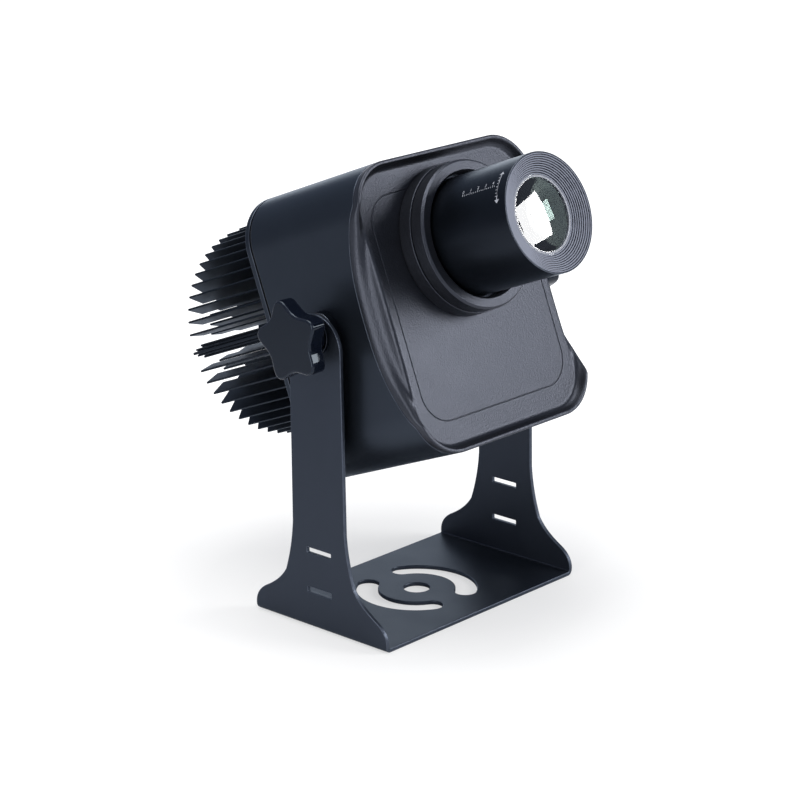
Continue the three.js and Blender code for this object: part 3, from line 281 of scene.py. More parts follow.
@dataclass(frozen=True)
class Finish:
    """A finish with grain, mottle, and edges painted for rubbing and as highlights.

    Attributes:
        name: the material's name.
        slot: the record's material slot; not used.
        colour: linear colour of the surface.
        roughness: its roughness.
        metallic: 1 for bare metal.
        specular: how strongly the coat mirrors.
        grain: grains in a metre.
        grain_detail: octaves of the grain.
        depth: height of the grain in millimetres.
        mottle: broad patches in a metre.
        colour_spread: how far patches differ in colour.
        roughness_spread: how far they differ in roughness.
        edge: colour laid on by the edge mask: rubbed edges with their painted highlight, and the painted
            shade in the front ring's grooves.
        wear: how much of it shows.
        lines: turning lines for each millimetre, none if zero.
        sheen: strength of the soft sheen of a matt coat.
        mirror_tint: tint of what the surface mirrors at a slant.
    """

    name: str
    slot: str
    colour: Colour
    roughness: float
    metallic: float = 0.0
    specular: float = 0.5
    grain: float = 2500.0
    grain_detail: float = 2.0
    depth: float = 0.01
    mottle: float = 60.0
    colour_spread: float = 0.25
    roughness_spread: float = 0.12
    edge: Colour = (0.2, 0.21, 0.23)
    wear: float = 0.4
    lines: float = 0.0
    sheen: float = 0.0
    mirror_tint: Colour = (1.0, 1.0, 1.0)

    def material(self) -> bpy.types.Material:
        """The finish as a material, built the first time that it is asked for.

        Returns:
            The material.
        """
        label = self.name + "_finish"
        found = bpy.data.materials.get(label)
        if found:
            return found
        made = bpy.data.materials.new(label)
        made.use_nodes = True
        wiring = Wiring(made.node_tree)
        shader = wiring.node("ShaderNodeBsdfPrincipled")
        wiring.node("ShaderNodeOutputMaterial", {"Surface": shader.outputs[0]})
        self.wire(wiring, shader)
        return made

    def group(self, wiring: Wiring, which: SurfaceGroup, **inputs: object) -> bpy.types.NodeOutputs:
        """The outputs of a shared group, with spaces in its inputs' names written as underscores."""
        named = {label.replace("_", " "): value for label, value in inputs.items()}
        return wiring.node("ShaderNodeGroup", named, node_tree=which.tree()).outputs

    def surface(self, wiring: Wiring, shader: bpy.types.Node, **more: object) -> bpy.types.NodeSocket:
        """Joins colour and roughness, which follow the grain's mottle, to the shader.

        Args:
            wiring: the material's wiring.
            shader: the Principled shader.
            more: further inputs of the tone.

        Returns:
            The grain's height.
        """
        scales = {"Grain_Scale": self.grain, "Detail": self.grain_detail, "Mottle_Scale": self.mottle}
        grain = self.group(wiring, SurfaceGroup.GRAIN, **scales)
        tone = self.group(
            wiring, SurfaceGroup.TONE, Colour=(*self.colour, 1), Edge_Colour=(*self.edge, 1),
            Roughness=self.roughness, Mottle=grain["Mottle"], Colour_Spread=self.colour_spread,
            Roughness_Spread=self.roughness_spread, **more,
        )
        wiring.tree.links.new(tone["Colour"], shader.inputs["Base Color"])
        wiring.tree.links.new(tone["Roughness"], shader.inputs["Roughness"])
        shader.inputs["Specular Tint"].default_value = (*self.mirror_tint, 1)
        return grain["Height"]

    def wire(self, wiring: Wiring, shader: bpy.types.Node) -> None:
        """Joins grain, the edge mask for rubbing and painted light, and tone to the shader.

        Args:
            wiring: the material's wiring.
            shader: the Principled shader.
        """
        worn_and_painted_light = self.group(wiring, SurfaceGroup.WEAR, Amount=self.wear)
        height = self.surface(wiring, shader, Mask=worn_and_painted_light["Mask"])
        if self.lines:
            height = self.group(wiring, SurfaceGroup.LATHE, Lines=self.lines, Height=height)["Height"]
        bump = {"Strength": 1.0, "Distance": self.depth * MILLIMETRE, "Height": height}
        wiring.tree.links.new(wiring.node("ShaderNodeBump", bump).outputs[0], shader.inputs["Normal"])
        shader.inputs["Metallic"].default_value = self.metallic
        shader.inputs["Specular IOR Level"].default_value = self.specular
        shader.inputs["Sheen Weight"].default_value = self.sheen


@dataclass(frozen=True)
class GlassFinish(Finish):
    """Polished glass with a thin coating that tints what it mirrors.

    Attributes:
        bend: index of refraction.
    """

    bend: float = 1.52

    def wire(self, wiring: Wiring, shader: bpy.types.Node) -> None:
        """Joins a faint film of dust and wipe marks to a clear shader.

        Args:
            wiring: the material's wiring.
            shader: the Principled shader.
        """
        self.surface(wiring, shader)
        shader.inputs["Transmission Weight"].default_value = 1.0
        shader.inputs["IOR"].default_value = self.bend


# The edge colours below, laid on by the edge mask, stand for rubbed edges and also paint their highlights,
# except the front ring's, which paints the shade in its grooves.
SATIN_COAT = Finish(
    "satin_coat", "satin_coat", (0.033, 0.039, 0.052), 0.44, metallic=0.85, grain=1900, depth=0.006,
    mottle=35, colour_spread=0.2, edge=from_screen(110, 117, 130), wear=0.42, mirror_tint=(0.86, 0.93, 1.0),
)
SMOOTH_COAT = Finish(
    "smooth_coat", "smooth_coat", (0.029, 0.035, 0.046), 0.38, metallic=0.88, grain=2200, depth=0.005,
    mottle=28, colour_spread=0.22, edge=from_screen(96, 101, 112), wear=0.5, mirror_tint=(0.86, 0.93, 1.0),
)
TEXTURED_COAT = Finish(
    "textured_coat", "textured_coat", (0.042, 0.045, 0.055), 0.4, metallic=0.88, grain=1000, grain_detail=2.5,
    depth=0.2, mottle=45, colour_spread=0.2, edge=from_screen(100, 105, 118), wear=0.25,
    mirror_tint=(0.96, 0.97, 1.0),
)
ANODISED = Finish(
    "black_anodised", "black_anodised", (0.014, 0.017, 0.023), 0.32, metallic=0.88, grain=4500, depth=0.003,
    mottle=40, edge=from_screen(110, 114, 124), wear=0.5, lines=3.0, mirror_tint=(0.86, 0.93, 1.0),
)
# Its light edge colour paints the highlights along the fins' edges, with a little rubbing.
SINK_ANODISED = Finish(
    "sink_anodised", "black_anodised", (0.012, 0.015, 0.021), 0.42, metallic=0.8, grain=3000, depth=0.006,
    mottle=50, edge=from_screen(120, 125, 138), wear=0.8, mirror_tint=(0.72, 0.78, 0.85),
)
# A lit copy of the black anodising: its grey paints the light on the front ring's treads, and its dark edge
# colour paints the shade in the grooves between them.
RING_ANODISED = Finish(
    "ring_anodised", "black_anodised", from_screen(117, 121, 134), 0.5, specular=0.25, grain=4500,
    depth=0.004, mottle=60, edge=from_screen(22, 24, 30), wear=1.0, lines=2.0,
)
# Its near-white edge colour paints a glint along the keeper's rounded edges, beside a little rubbing.
KEEPER_ANODISED = Finish(
    "keeper_anodised", "black_anodised", from_screen(105, 108, 118), 0.35, specular=0.4, grain=4500,
    depth=0.004, mottle=60, edge=from_screen(205, 208, 214), wear=0.9,
)
ALUMINIUM = Finish(
    "bright_aluminium", "bright_aluminium", (0.62, 0.63, 0.65), 0.3, metallic=1.0, grain=5000, depth=0.004,
    mottle=80, colour_spread=0.12, edge=(0.8, 0.8, 0.82), wear=0.3, lines=5.0,
)
STEEL = Finish(
    "plated_steel", "plated_steel", (0.56, 0.56, 0.58), 0.28, metallic=1.0, grain=3500, depth=0.004,
    mottle=120, colour_spread=0.2, edge=(0.75, 0.75, 0.77), wear=0.3,
)
GLOSS_PLASTIC = Finish(
    "gloss_plastic", "gloss_plastic", from_screen(10, 14, 23), 0.06, specular=0.24, grain=260,
    grain_detail=1.0, depth=0.02, mottle=90, colour_spread=0.15, roughness_spread=0.08,
    edge=from_screen(60, 64, 74), wear=0.3, mirror_tint=(0.72, 0.86, 1.0),
)
MATT_PLASTIC = Finish(
    "matt_plastic", "matt_plastic", from_screen(40, 41, 44), 0.6, specular=0.4, grain=1800, depth=0.012,
    mottle=70, edge=from_screen(80, 82, 88), wear=0.3,
)
RUBBER = Finish(
    "rubber", "rubber", from_screen(27, 27, 29), 0.82, specular=0.25, grain=2400, depth=0.015, mottle=90,
    edge=from_screen(60, 60, 64), wear=0.2, sheen=0.1,
)
BOARD = Finish(
    "circuit_board", "board", (0.8, 0.79, 0.75), 0.5, grain=3000, depth=0.004, mottle=150,
    colour_spread=0.1, edge=(0.9, 0.9, 0.86), wear=0.1,
)
PHOSPHOR = Finish(
    "phosphor", "phosphor", (0.85, 0.62, 0.08), 0.45, grain=6000, depth=0.006, mottle=300,
    colour_spread=0.25, edge=(0.9, 0.7, 0.2), wear=0.1,
)
RED_SILICONE = Finish(
    "red_silicone", "red_silicone", (0.45, 0.03, 0.02), 0.5, grain=1500, depth=0.006, mottle=120,
    edge=(0.5, 0.08, 0.06), wear=0.1,
)
BLACK_SILICONE = Finish(
    "black_silicone", "black_silicone", (0.02, 0.02, 0.022), 0.5, grain=1500, depth=0.006, mottle=120,
    edge=(0.06, 0.06, 0.065), wear=0.1,
)
MARK_WHITE = Finish(
    "mark_white", "matt_plastic", from_screen(150, 152, 158), 0.6, grain=5000, depth=0.002, mottle=400,
    colour_spread=0.3, edge=from_screen(150, 150, 152), wear=0.2,
)
FRONT_GLASS = GlassFinish(
    "front_glass", "optical_glass", (0.97, 0.99, 0.98), 0.006, roughness_spread=0.01, colour_spread=0.02,
    mottle=180, bend=1.75,
)
TINTED_GLASS = GlassFinish(
    "tinted_glass", "optical_glass", (0.93, 0.98, 0.95), 0.006, roughness_spread=0.01, colour_spread=0.02,
    mottle=180, bend=1.75, mirror_tint=(0.66, 0.86, 0.8),
)


# Shapes


ROUND_REACH_SHARE = 0.42
HELD_SHARE = 1.2
LEAST_WEAR_AND_PAINTED_LIGHT_SHARE = 0.4
HANDLE_SHARE = 0.39


@dataclass(frozen=True)
class Corner:
    """A corner of a drawn profile.

    Attributes:
        out: distance from the axis, or inset from an outline.
        along: distance along the axis.
        round: radius that rounds the corner.
        wear: how rubbed the rounded edge is and how much painted highlight it has, from 0 to 1.
    """

    out: float
    along: float
    round: float = 0.0
    wear: float = 1.0


def rounded(corners: Sequence[Corner], closed: bool = True, steps: int = 4) -> list[Spot]:
    """Rounds the corners of a profile and holds its straight runs flat.

    Args:
        corners: the corners in order.
        closed: whether the last corner joins the first.
        steps: divisions of each rounded corner.

    Returns:
        Spots of distance out, distance along and the edge mask for rubbing and painted light.
    """
    spots: list[Spot] = []
    for index, corner in enumerate(corners):
        here = Vector((corner.out, corner.along))
        ends = not closed and index in (0, len(corners) - 1)
        if corner.round <= 0 or ends:
            spots.append((corner.out, corner.along, 0.0))
            continue
        before, after = corners[index - 1], corners[(index + 1) % len(corners)]
        back = Vector((before.out, before.along)) - here
        ahead = Vector((after.out, after.along)) - here
        half = back.angle(ahead) / 2
        longest = ROUND_REACH_SHARE * min(back.length, ahead.length)
        reach = min(corner.round / math.tan(half), longest)
        lead = HELD_SHARE * reach
        back.normalize()
        ahead.normalize()
        spots.append((*(here + back * lead), 0.0))
        weight = math.sin(half)
        for step in range(steps + 1):
            t = step / steps
            shares = ((1 - t) ** 2, 2 * weight * t * (1 - t), t**2)
            spread = (here + back * reach) * shares[0] + here * shares[1] + (here + ahead * reach) * shares[2]
            worn_and_painted_light = LEAST_WEAR_AND_PAINTED_LIGHT_SHARE + (1 - LEAST_WEAR_AND_PAINTED_LIGHT_SHARE) * math.sin(math.pi * t)
            spots.append((*(spread / sum(shares)), corner.wear * worn_and_painted_light))
        spots.append((*(here + ahead * lead), 0.0))
    return spots


def bend(start: Flat, way: Flat, end: Flat, arrival: Flat, share: float) -> Flat:
    """A place on the curve that leaves its start one way and reaches its end another way.

    Args:
        start: where the curve starts.
        way: the direction in which it leaves.
        end: where it ends.
        arrival: the direction in which it arrives.
        share: how far along the curve, from 0 to 1.

    Returns:
        The place.
    """
    first, last = Vector(start), Vector(end)
    handle = HANDLE_SHARE * (last - first).length
    leave = first + Vector(way).normalized() * handle
    reach = last - Vector(arrival).normalized() * handle
    rest = 1 - share
    place = first * rest**3 + leave * 3 * rest**2 * share + reach * 3 * rest * share**2 + last * share**3
    return place.x, place.y


@dataclass
class Form:
    """Points and faces of one piece, in the millimetres of its seat."""

    points: list[Point] = field(default_factory=list)
    faces: list[tuple[int, ...]] = field(default_factory=list)
    wear: list[float] = field(default_factory=list)
    profile: list[float] = field(default_factory=list)

    def _ring(self, row: Sequence[Point], wear: float, profile: float) -> list[int]:
        """Adds the points of one row.

        Args:
            row: the points.
            wear: their wear.
            profile: their distance along the profile.

        Returns:
            wear: their mask for edge rubbing and painted light.
        """
        first = len(self.points)
        self.points.extend(row)
        self.wear.extend([wear] * len(row))
        self.profile.extend([profile] * len(row))
        return list(range(first, first + len(row)))

    def _bridge(self, one: list[int], other: list[int]) -> None:
        """Joins two rows, each round a loop or a single point.

        Args:
            one: the numbers of one row's points.
            other: those of the next row.
        """
        count = max(len(one), len(other))
        if count == 1:
            return
        for i in range(count):
            j = (i + 1) % count
            face = (one[i % len(one)], one[j % len(one)], other[j % len(other)], other[i % len(other)])
            self.faces.append(tuple(dict.fromkeys(face)))

    def add(self, points: Sequence[Point], faces: Iterable[Sequence[int]]) -> None:
        """Adds points free of edge rubbing and painted light, and faces, which go by the numbers of these
        points.
        """
        first = self._ring(points, 0.0, 0.0)[0]
        self.faces += [tuple(first + i for i in face) for face in faces]

    def loft(self, rows: Sequence[Sequence[Point]], wear: Sequence[float], closed: bool = True) -> "Form":
        """Joins rows of points, each a loop.

        Args:
            rows: the loops, or a single point where they close.
            wear: the mask for edge rubbing and painted light of each row.
            closed: whether the last row joins the first.

        Returns:
            The form.
        """
        travelled, rings = 0.0, []
        for index, row in enumerate(rows):
            if index:
                travelled += (Vector(row[0]) - Vector(rows[index - 1][0])).length
            rings.append(self._ring(row, wear[index], travelled))
        for one, other in zip(rings, rings[1:] + (rings[:1] if closed else [])):
            self._bridge(one, other)
        return self

    def turned(self, profile: Sequence[Spot], sides: int = 96, x: float = 0.0, up: float = 0.0) -> "Form":
        """Turns a closed profile about an axis along the third direction.

        Args:
            profile: spots of radius, place along the axis and the edge mask for rubbing and painted light.
            sides: divisions round the axis.
            x: place of the axis.
            up: place of the axis.

        Returns:
            The form.
        """
        angles = [2 * math.pi * i / sides for i in range(sides)]
        rows = [
            [(x, up, along)]
            if out < ON_AXIS
            else [(x + out * math.sin(a), up + out * math.cos(a), along) for a in angles]
            for out, along, _ in profile
        ]
        return self.loft(rows, [wear for _, _, wear in profile])

    def lathed(self, corners: Sequence[Corner], sides: int = 96, x: float = 0.0, up: float = 0.0) -> "Form":
        """Turns a closed profile of rounded corners about an axis along the third direction."""
        return self.turned(rounded(corners), sides, x, up)

    def drawn(self, outline: Outline, profile: Sequence[Spot]) -> "Form":
        """Draws an outline along the third direction, inset by a profile.

        Args:
            outline: the loop for an inset.
            profile: spots of inset, place along and the edge mask for rubbing and painted light; its two ends
                are closed flat.

        Returns:
            The form.
        """
        rows = [[(a, b, along) for a, b in outline(inset)] for inset, along, _ in profile]
        wear = [spot[2] for spot in profile]
        first = len(self.points)
        self.loft(rows, wear, closed=False)
        size = len(rows[0])
        last = first + size * (len(rows) - 1)
        self.faces.append(tuple(range(first, first + size)))
        self.faces.append(tuple(range(last, last + size)))
        return self

    def bar(self, outline: Outline, low: float, high: float, edge: float) -> "Form":
        """Draws an outline from one place to another with rounded ends.

        Args:
            outline: the loop for an inset.
            low: where it starts.
            high: where it ends.
            edge: radius of the rounded ends.

        Returns:
            The form.
        """
        middle = 4 * edge
        corners = [Corner(middle, low), Corner(0, low, edge), Corner(0, high, edge), Corner(middle, high)]
        return self.drawn(outline, rounded(corners, closed=False, steps=3)[1:-1])

    def mesh(self, name: str, matrix: Matrix | None = None) -> bpy.types.Mesh:
        """The form as a mesh.

        Args:
            name: the mesh's name.
            matrix: where it goes; none leaves it in its own millimetres.

        Returns:
            The mesh, with its doubles merged and its faces turned outwards.
        """
        made = bpy.data.meshes.new(name)
        made.from_pydata(self.points, [], self.faces)
        for label, values in (("wear", self.wear), ("profile", self.profile)):
            made.attributes.new(label, "FLOAT", "POINT").data.foreach_set("value", values)
        work = bmesh.new()
        work.from_mesh(made)
        bmesh.ops.remove_doubles(work, verts=work.verts, dist=SAME_PLACE)
        bmesh.ops.dissolve_degenerate(work, edges=work.edges, dist=SLIVER)
        bmesh.ops.recalc_face_normals(work, faces=work.faces)
        work.to_mesh(made)
        work.free()
        if matrix is not None:
            made.transform(matrix)
        return made

    def piece(
        self, name: str, matrix: Matrix, finish: Finish, body: str, *nodes: str, sharp: float = SHARP_DEGREES
    ) -> bpy.types.Object:
        """Makes the form a piece of the object, with the same arguments as mesh and dress."""
        return dress(self.mesh(name, matrix), finish, body, nodes, sharp)


def dress(
    mesh: bpy.types.Mesh, finish: Finish, body: str, nodes: Iterable[str] = (), sharp: float = SHARP_DEGREES
) -> bpy.types.Object:
    """Makes a mesh a piece of the object.

    Args:
        mesh: the mesh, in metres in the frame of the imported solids.
        finish: its finish.
        body: the body that it rides on.
        nodes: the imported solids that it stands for.
        sharp: edges that turn more than this stay sharp, in degrees.

    Returns:
        The piece.
    """
    mesh.shade_smooth()
    mesh.set_sharp_from_angle(angle=math.radians(sharp))
    mesh.materials.clear()
    mesh.materials.append(finish.material())
    piece = bpy.data.objects.new(mesh.name, mesh)
    bpy.context.scene.collection.objects.link(piece)
    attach(piece, body)
    if nodes:
        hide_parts(*nodes)
    log.info("%s: %d faces, rides on %s", piece.name, len(mesh.polygons), body)
    return piece


class Repeat(Enum):
    """How copies of a form are set out, each one geometry node tree."""

    ROUND = "copies_round_an_axis"
    CORNERS = "copies_at_four_corners"

    def _inputs(self) -> dict[str, str]:
        """The inputs that set the copies out.

        Returns:
            The kind of each.
        """
        if self is Repeat.ROUND:
            turns = dict.fromkeys(("Start", "Pitch", "Group Pitch"), "Float")
            return {"Count": "Int", "Group": "Int", **turns}
        return {"Width": "Float", "Height": "Float"}

    def _set_out(self, wiring: Wiring, given: bpy.types.NodeOutputs) -> dict[str, bpy.types.NodeSocket]:
        """Sets the copies out, in groups round the axis or at the corners of a rectangle.

        Args:
            wiring: the tree's wiring.
            given: the tree's inputs.

        Returns:
            Where the copies go and how they are turned.
        """
        if self is Repeat.CORNERS:
            size = {"Size X": given["Width"], "Size Y": given["Height"], "Vertices X": 2, "Vertices Y": 2}
            return {"Points": wiring.node("GeometryNodeMeshGrid", size).outputs[0]}
        places = wiring.node("GeometryNodeMeshLine", {"Count": given["Count"], "Offset": (0, 0, 0)})
        number = wiring.node("GeometryNodeInputIndex").outputs[0]
        group = wiring.math("FLOOR", wiring.math("DIVIDE", number, given["Group"]))
        within = wiring.math("MODULO", number, given["Group"])
        start = wiring.math("MULTIPLY_ADD", group, given["Group Pitch"], given["Start"])
        angle = wiring.math("MULTIPLY_ADD", within, given["Pitch"], start)
        turn = wiring.node("ShaderNodeCombineXYZ", {"Z": angle})
        return {"Points": places.outputs[0], "Rotation": turn.outputs[0]}

    def _tree(self) -> bpy.types.NodeTree:
        """The tree, built the first time that it is asked for.

        Returns:
            The tree.
        """
        found = bpy.data.node_groups.get(self.value)
        if found:
            return found
        tree = bpy.data.node_groups.new(self.value, "GeometryNodeTree")
        tree.is_modifier = True
        new = tree.interface.new_socket
        for label, kind in {"Geometry": "Geometry", **self._inputs(), "Finish": "Material"}.items():
            new(label, in_out="INPUT", socket_type="NodeSocket" + kind)
        new("Geometry", in_out="OUTPUT", socket_type="NodeSocketGeometry")
        wiring = Wiring(tree)
        given = wiring.node("NodeGroupInput").outputs
        copied = {"Instance": given["Geometry"], **self._set_out(wiring, given)}
        copies = wiring.node("GeometryNodeInstanceOnPoints", copied)
        real = wiring.node("GeometryNodeRealizeInstances", {"Geometry": copies.outputs[0]})
        dressed = wiring.node(
            "GeometryNodeSetMaterial", {"Geometry": real.outputs[0], "Material": given["Finish"]}
        )
        wiring.node("NodeGroupOutput", {"Geometry": dressed.outputs[0]})
        return tree

    def piece(
        self, name: str, form: Form, matrix: Matrix, finish: Finish, body: str, *nodes: str,
        sharp: float = SHARP_DEGREES, **values: float,
    ) -> None:
        """Copies a form and makes all the copies one piece of the object.

        Args:
            name: the piece's name.
            form: what is copied, in the millimetres of its seat.
            matrix: where the copies go.
            finish: their finish.
            body: the body that they ride on.
            nodes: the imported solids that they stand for.
            sharp: edges that turn more than this stay sharp, in degrees.
            values: the tree's named inputs, with spaces written as underscores.
        """
        tree = self._tree()
        source = bpy.data.objects.new(name + "_source", form.mesh(name + "_source"))
        bpy.context.scene.collection.objects.link(source)
        modifier = source.modifiers.new("copies", "NODES")
        modifier.node_group = tree
        given = {"Finish": finish.material(), **values}
        for item in tree.interface.items_tree:
            label = item.name.replace(" ", "_")
            if item.in_out == "INPUT" and label in given:
                modifier[item.identifier] = given[label]
        graph = bpy.context.evaluated_depsgraph_get()
        made = bpy.data.meshes.new_from_object(
            source.evaluated_get(graph), preserve_all_data_layers=True, depsgraph=graph
        )
        source.modifiers.remove(modifier)
        bpy.data.objects.remove(source)
        made.name = name
        made.transform(matrix)
        dress(made, finish, body, nodes, sharp)


@dataclass(frozen=True)
class RoundedOutline:
    """A rectangle with round corners, its middle at up, whose places match those of other such outlines."""

    width: float
    height: float
    corner: float
    up: float
    corner_steps: int = 18
    side_steps: int = 60
    end_steps: int = 8

    def places(self) -> list[tuple[float, float, float, float]]:
        """Places round the outline.

        Returns:
            For each, the centre of curvature, x and up, and the direction out.
        """
        w, h = self.width / 2 - self.corner, self.height / 2 - self.corner
        found = []
        quarters = ((w, h), (-w, h), (-w, -h), (w, -h))
        for quarter, (x, up) in enumerate(quarters):
            for step in range(self.corner_steps):
                angle = (quarter + step / self.corner_steps) * math.pi / 2
                found.append((x, up, math.cos(angle), math.sin(angle)))
            following = quarters[(quarter + 1) % 4]
            steps = self.end_steps if quarter % 2 == 0 else self.side_steps
            angle = (quarter + 1) * math.pi / 2
            for step in range(steps):
                share = step / steps
                place = (x + (following[0] - x) * share, up + (following[1] - up) * share)
                found.append((*place, round(math.cos(angle)), round(math.sin(angle))))
        return found

    def loop(self, inset: float = 0.0) -> list[Flat]:
        """The outline, inset."""
        out = self.corner - inset
        return [(x + out * a, self.up + up + out * b) for x, up, a, b in self.places()]

    def row(self, inset: float, along: float) -> list[Point]:
        """The outline, inset, at a place along the third direction."""
        return [(x, up, along) for x, up in self.loop(inset)]


def softened(places: Iterable[Flat], corner: float, steps: int) -> list[Flat]:
    """A loop of places with its corners rounded."""
    return [(a, b) for a, b, _ in rounded([Corner(*place, corner) for place in places], steps=steps)]


def hexagon(across: float, corner: float) -> Outline:
    """The outline of a hexagon with softened corners.

    Args:
        across: size over the flats.
        corner: radius of the corners.

    Returns:
        The loop for an inset.
    """
    turns = [k * math.pi / 3 for k in range(6)]

    def loop(inset: float) -> list[Flat]:
        """The hexagon's loop, inset."""
        reach = (across / 2 - inset) / math.cos(math.pi / 6)
        return softened([(reach * math.cos(turn), reach * math.sin(turn)) for turn in turns], corner, 3)

    return loop


def rectangle(width: float, low: float, high: float, corner: float) -> Outline:
    """The outline of a small rectangle with softened corners.

    Args:
        width: across the first direction, about its middle.
        low: where it starts in the second direction.
        high: where it ends.
        corner: radius of the corners.

    Returns:
        The loop for an inset.
    """

    def loop(inset: float) -> list[Flat]:
        """The rectangle's loop, inset."""
        half, start, end = width / 2 - inset, low + inset, high - inset
        return softened([(half, start), (half, end), (-half, end), (-half, start)], corner, 2)

    return loop


# Yoke


@dataclass
class Yoke:
    """The folded sheet: a foot with its bolt hole and arc slots, and two uprights with strap slots.

    The foot's outline follows curves whose points are shares of its spread past the upright and of its rise.
    """

    width: float = 170.0
    sheet: float = 2.5
    bend: float = 3.5
    upright: float = 41.4
    top: float = 195.7
    depth: float = 108.4
    rise: float = 65.0
    bolt_hole: float = 16.5
    slot_radius: float = 30.7
    slot_width: float = 13.4
    slot_degrees: float = 120.0
    strap_length: float = 19.5
    strap_height: float = 3.3
    strap_corner: float = 0.4
    strap_rises: Flat = (24.3, 49.3)
    pivot_hole: float = 8.4
    edge: float = 0.45
    edge_steps: int = 3
    edge_run_share: float = 1.35
    edge_wear: Point = (0.3, 1.0, 0.6)
    least_step: float = 0.05
    fold_clear: float = 0.3
    fold_steps: int = 8
    curve_steps: int = 24
    top_steps: int = 28
    hole_sides: tuple[int, int] = (64, 32)
    slot_steps: tuple[int, int] = (40, 20)
    curve_shares: tuple[tuple[Flat, ...], ...] = (
        ((1, 0.04), (1.03, 0.14), (0.92, 0.22), (0.72, 0.275)),
        ((0.72, 0.275), (0.46, 0.35), (0.32, 0.42), (0.22, 0.5)),
        ((0.22, 0.5), (0.14, 0.62), (0.05, 0.78), (0.02, 1)),
    )

    @property
    def _middle(self) -> float:
        """Radius of the fold at the middle of the sheet."""
        return self.bend - self.sheet / 2

    @property
    def _fold_start(self) -> float:
        """Half length of the flat foot between the folds."""
        return self.width / 2 - self.bend

    def _run(self, height: float) -> float:
        """How far from its middle a height on an upright lies on the unfolded sheet."""
        share = max(0.0, min(1.0, (self.bend - height) / self._middle))
        return self._fold_start + self._middle * math.acos(share) + max(0.0, height - self.bend)

    def _half_depths(self) -> list[Flat]:
        """The foot's outline, from the floor to its shoulder.

        Returns:
            Height and half depth of each of its points.
        """
        half = self.upright / 2
        spread = self.depth / 2 - half
        found = [(0.0, self.depth / 2)]
        for curve in self.curve_shares:
            for step in range(self.curve_steps + 1):
                t = step / self.curve_steps
                weights = ((1 - t) ** 3, 3 * t * (1 - t) ** 2, 3 * t * t * (1 - t), t**3)
                across = sum(weight * place[0] for weight, place in zip(weights, curve))
                rise = sum(weight * place[1] for weight, place in zip(weights, curve))
                if self.rise * rise > found[-1][0] + self.least_step:
                    found.append((self.rise * rise, half + spread * across))
        return found

    def _outline(self) -> list[Flat]:
        """The unfolded sheet's outline.

        Returns:
            Distance along and depth of its points, one loop.
        """
        depths = self._half_depths()

        def half_at(height: float) -> float:
            """Half depth at a height.

            Args:
                height: the height over the floor.

            Returns:
                Half the sheet's depth there.
            """
            for (low, one), (high, other) in zip(depths, depths[1:]):
                if low <= height <= high:
                    return one + (other - one) * (height - low) / (high - low)
            return self.upright / 2

        quarter: list[Flat] = [(self._fold_start * share, self.depth / 2) for share in (0.0, 0.5)]
        for step in range(self.fold_steps + 1):
            angle = step / self.fold_steps * math.pi / 2
            height = self.bend - self._middle * math.cos(angle)
            quarter.append((self._fold_start + self._middle * angle, half_at(height)))
        clear = self.bend + self.fold_clear
        quarter += [(self._run(height), half) for height, half in depths if height > clear]
        half = self.upright / 2
        centre = self._run(self.top - half)
        for step in range(self.top_steps):
            angle = step / self.top_steps * math.pi / 2
            quarter.append((centre + half * math.sin(angle), half * math.cos(angle)))
        quarter.append((centre + half, 0.0))
        right = quarter + [(run, -across) for run, across in reversed(quarter[:-1])]
        left = [(-run, across) for run, across in right[1:-1]]
        return right + list(reversed(left))

    def _arc_slot(self, side: float) -> list[Flat]:
        """An arc slot round the bolt hole.

        Args:
            side: the direction of its middle.

        Returns:
            Its loop.
        """
        half, end = math.radians(self.slot_degrees / 2), self.slot_width / 2
        long, short = self.slot_steps
        first, last = side - half, side + half
        sweeps = (
            (0.0, 0.0, self.slot_radius + end, first, last, long),
            (last, self.slot_radius, end, last, last + math.pi, short),
            (0.0, 0.0, self.slot_radius - end, last, first, long),
            (first, self.slot_radius, end, first + math.pi, first + 2 * math.pi, short),
        )
        arc: list[Flat] = []
        for place, reach, radius, start, stop, steps in sweeps:
            x, y = reach * math.cos(place), reach * math.sin(place)
            for step in range(steps):
                angle = start + (stop - start) * step / steps
                arc.append((x + radius * math.cos(angle), y + radius * math.sin(angle)))
        return arc

    def _holes(self) -> list[list[Flat]]:
        """The holes in the unfolded sheet.

        Returns:
            Their loops.
        """

        def circle(radius: float, run: float, sides: int) -> list[Flat]:
            """A round hole."""
            turn = 2 * math.pi / sides
            return [(run + radius * math.cos(i * turn), radius * math.sin(i * turn)) for i in range(sides)]

        bolt_sides, pivot_sides = self.hole_sides
        holes = [circle(self.bolt_hole / 2, 0.0, bolt_sides), self._arc_slot(0.0), self._arc_slot(math.pi)]
        half = self.strap_length / 2
        slot = rectangle(self.strap_height, -half, half, self.strap_corner)(0.0)
        for side in (1, -1):
            for rise in self.strap_rises:
                middle = side * self._run(rise)
                holes.append([(middle + run, across) for run, across in slot])
            holes.append(circle(self.pivot_hole / 2, side * self._run(PIVOT[2]), pivot_sides))
        return holes

    def _folded(self, run: float, across: float, out: float) -> Point:
        """Folds a point of the sheet.

        Args:
            run: distance along the unfolded sheet.
            across: depth.
            out: distance from the middle of the sheet towards its outer face.

        Returns:
            The point in the yoke's frame.
        """
        side, reach = (1 if run >= 0 else -1), abs(run) - self._fold_start
        radius = self._middle + out
        if reach <= 0:
            return run, -across, self.bend - radius
        angle = reach / self._middle
        if angle < math.pi / 2:
            offset = self._fold_start + radius * math.sin(angle)
            return side * offset, -across, self.bend - radius * math.cos(angle)
        return side * (self._fold_start + radius), -across, self.bend + reach - self._middle * math.pi / 2

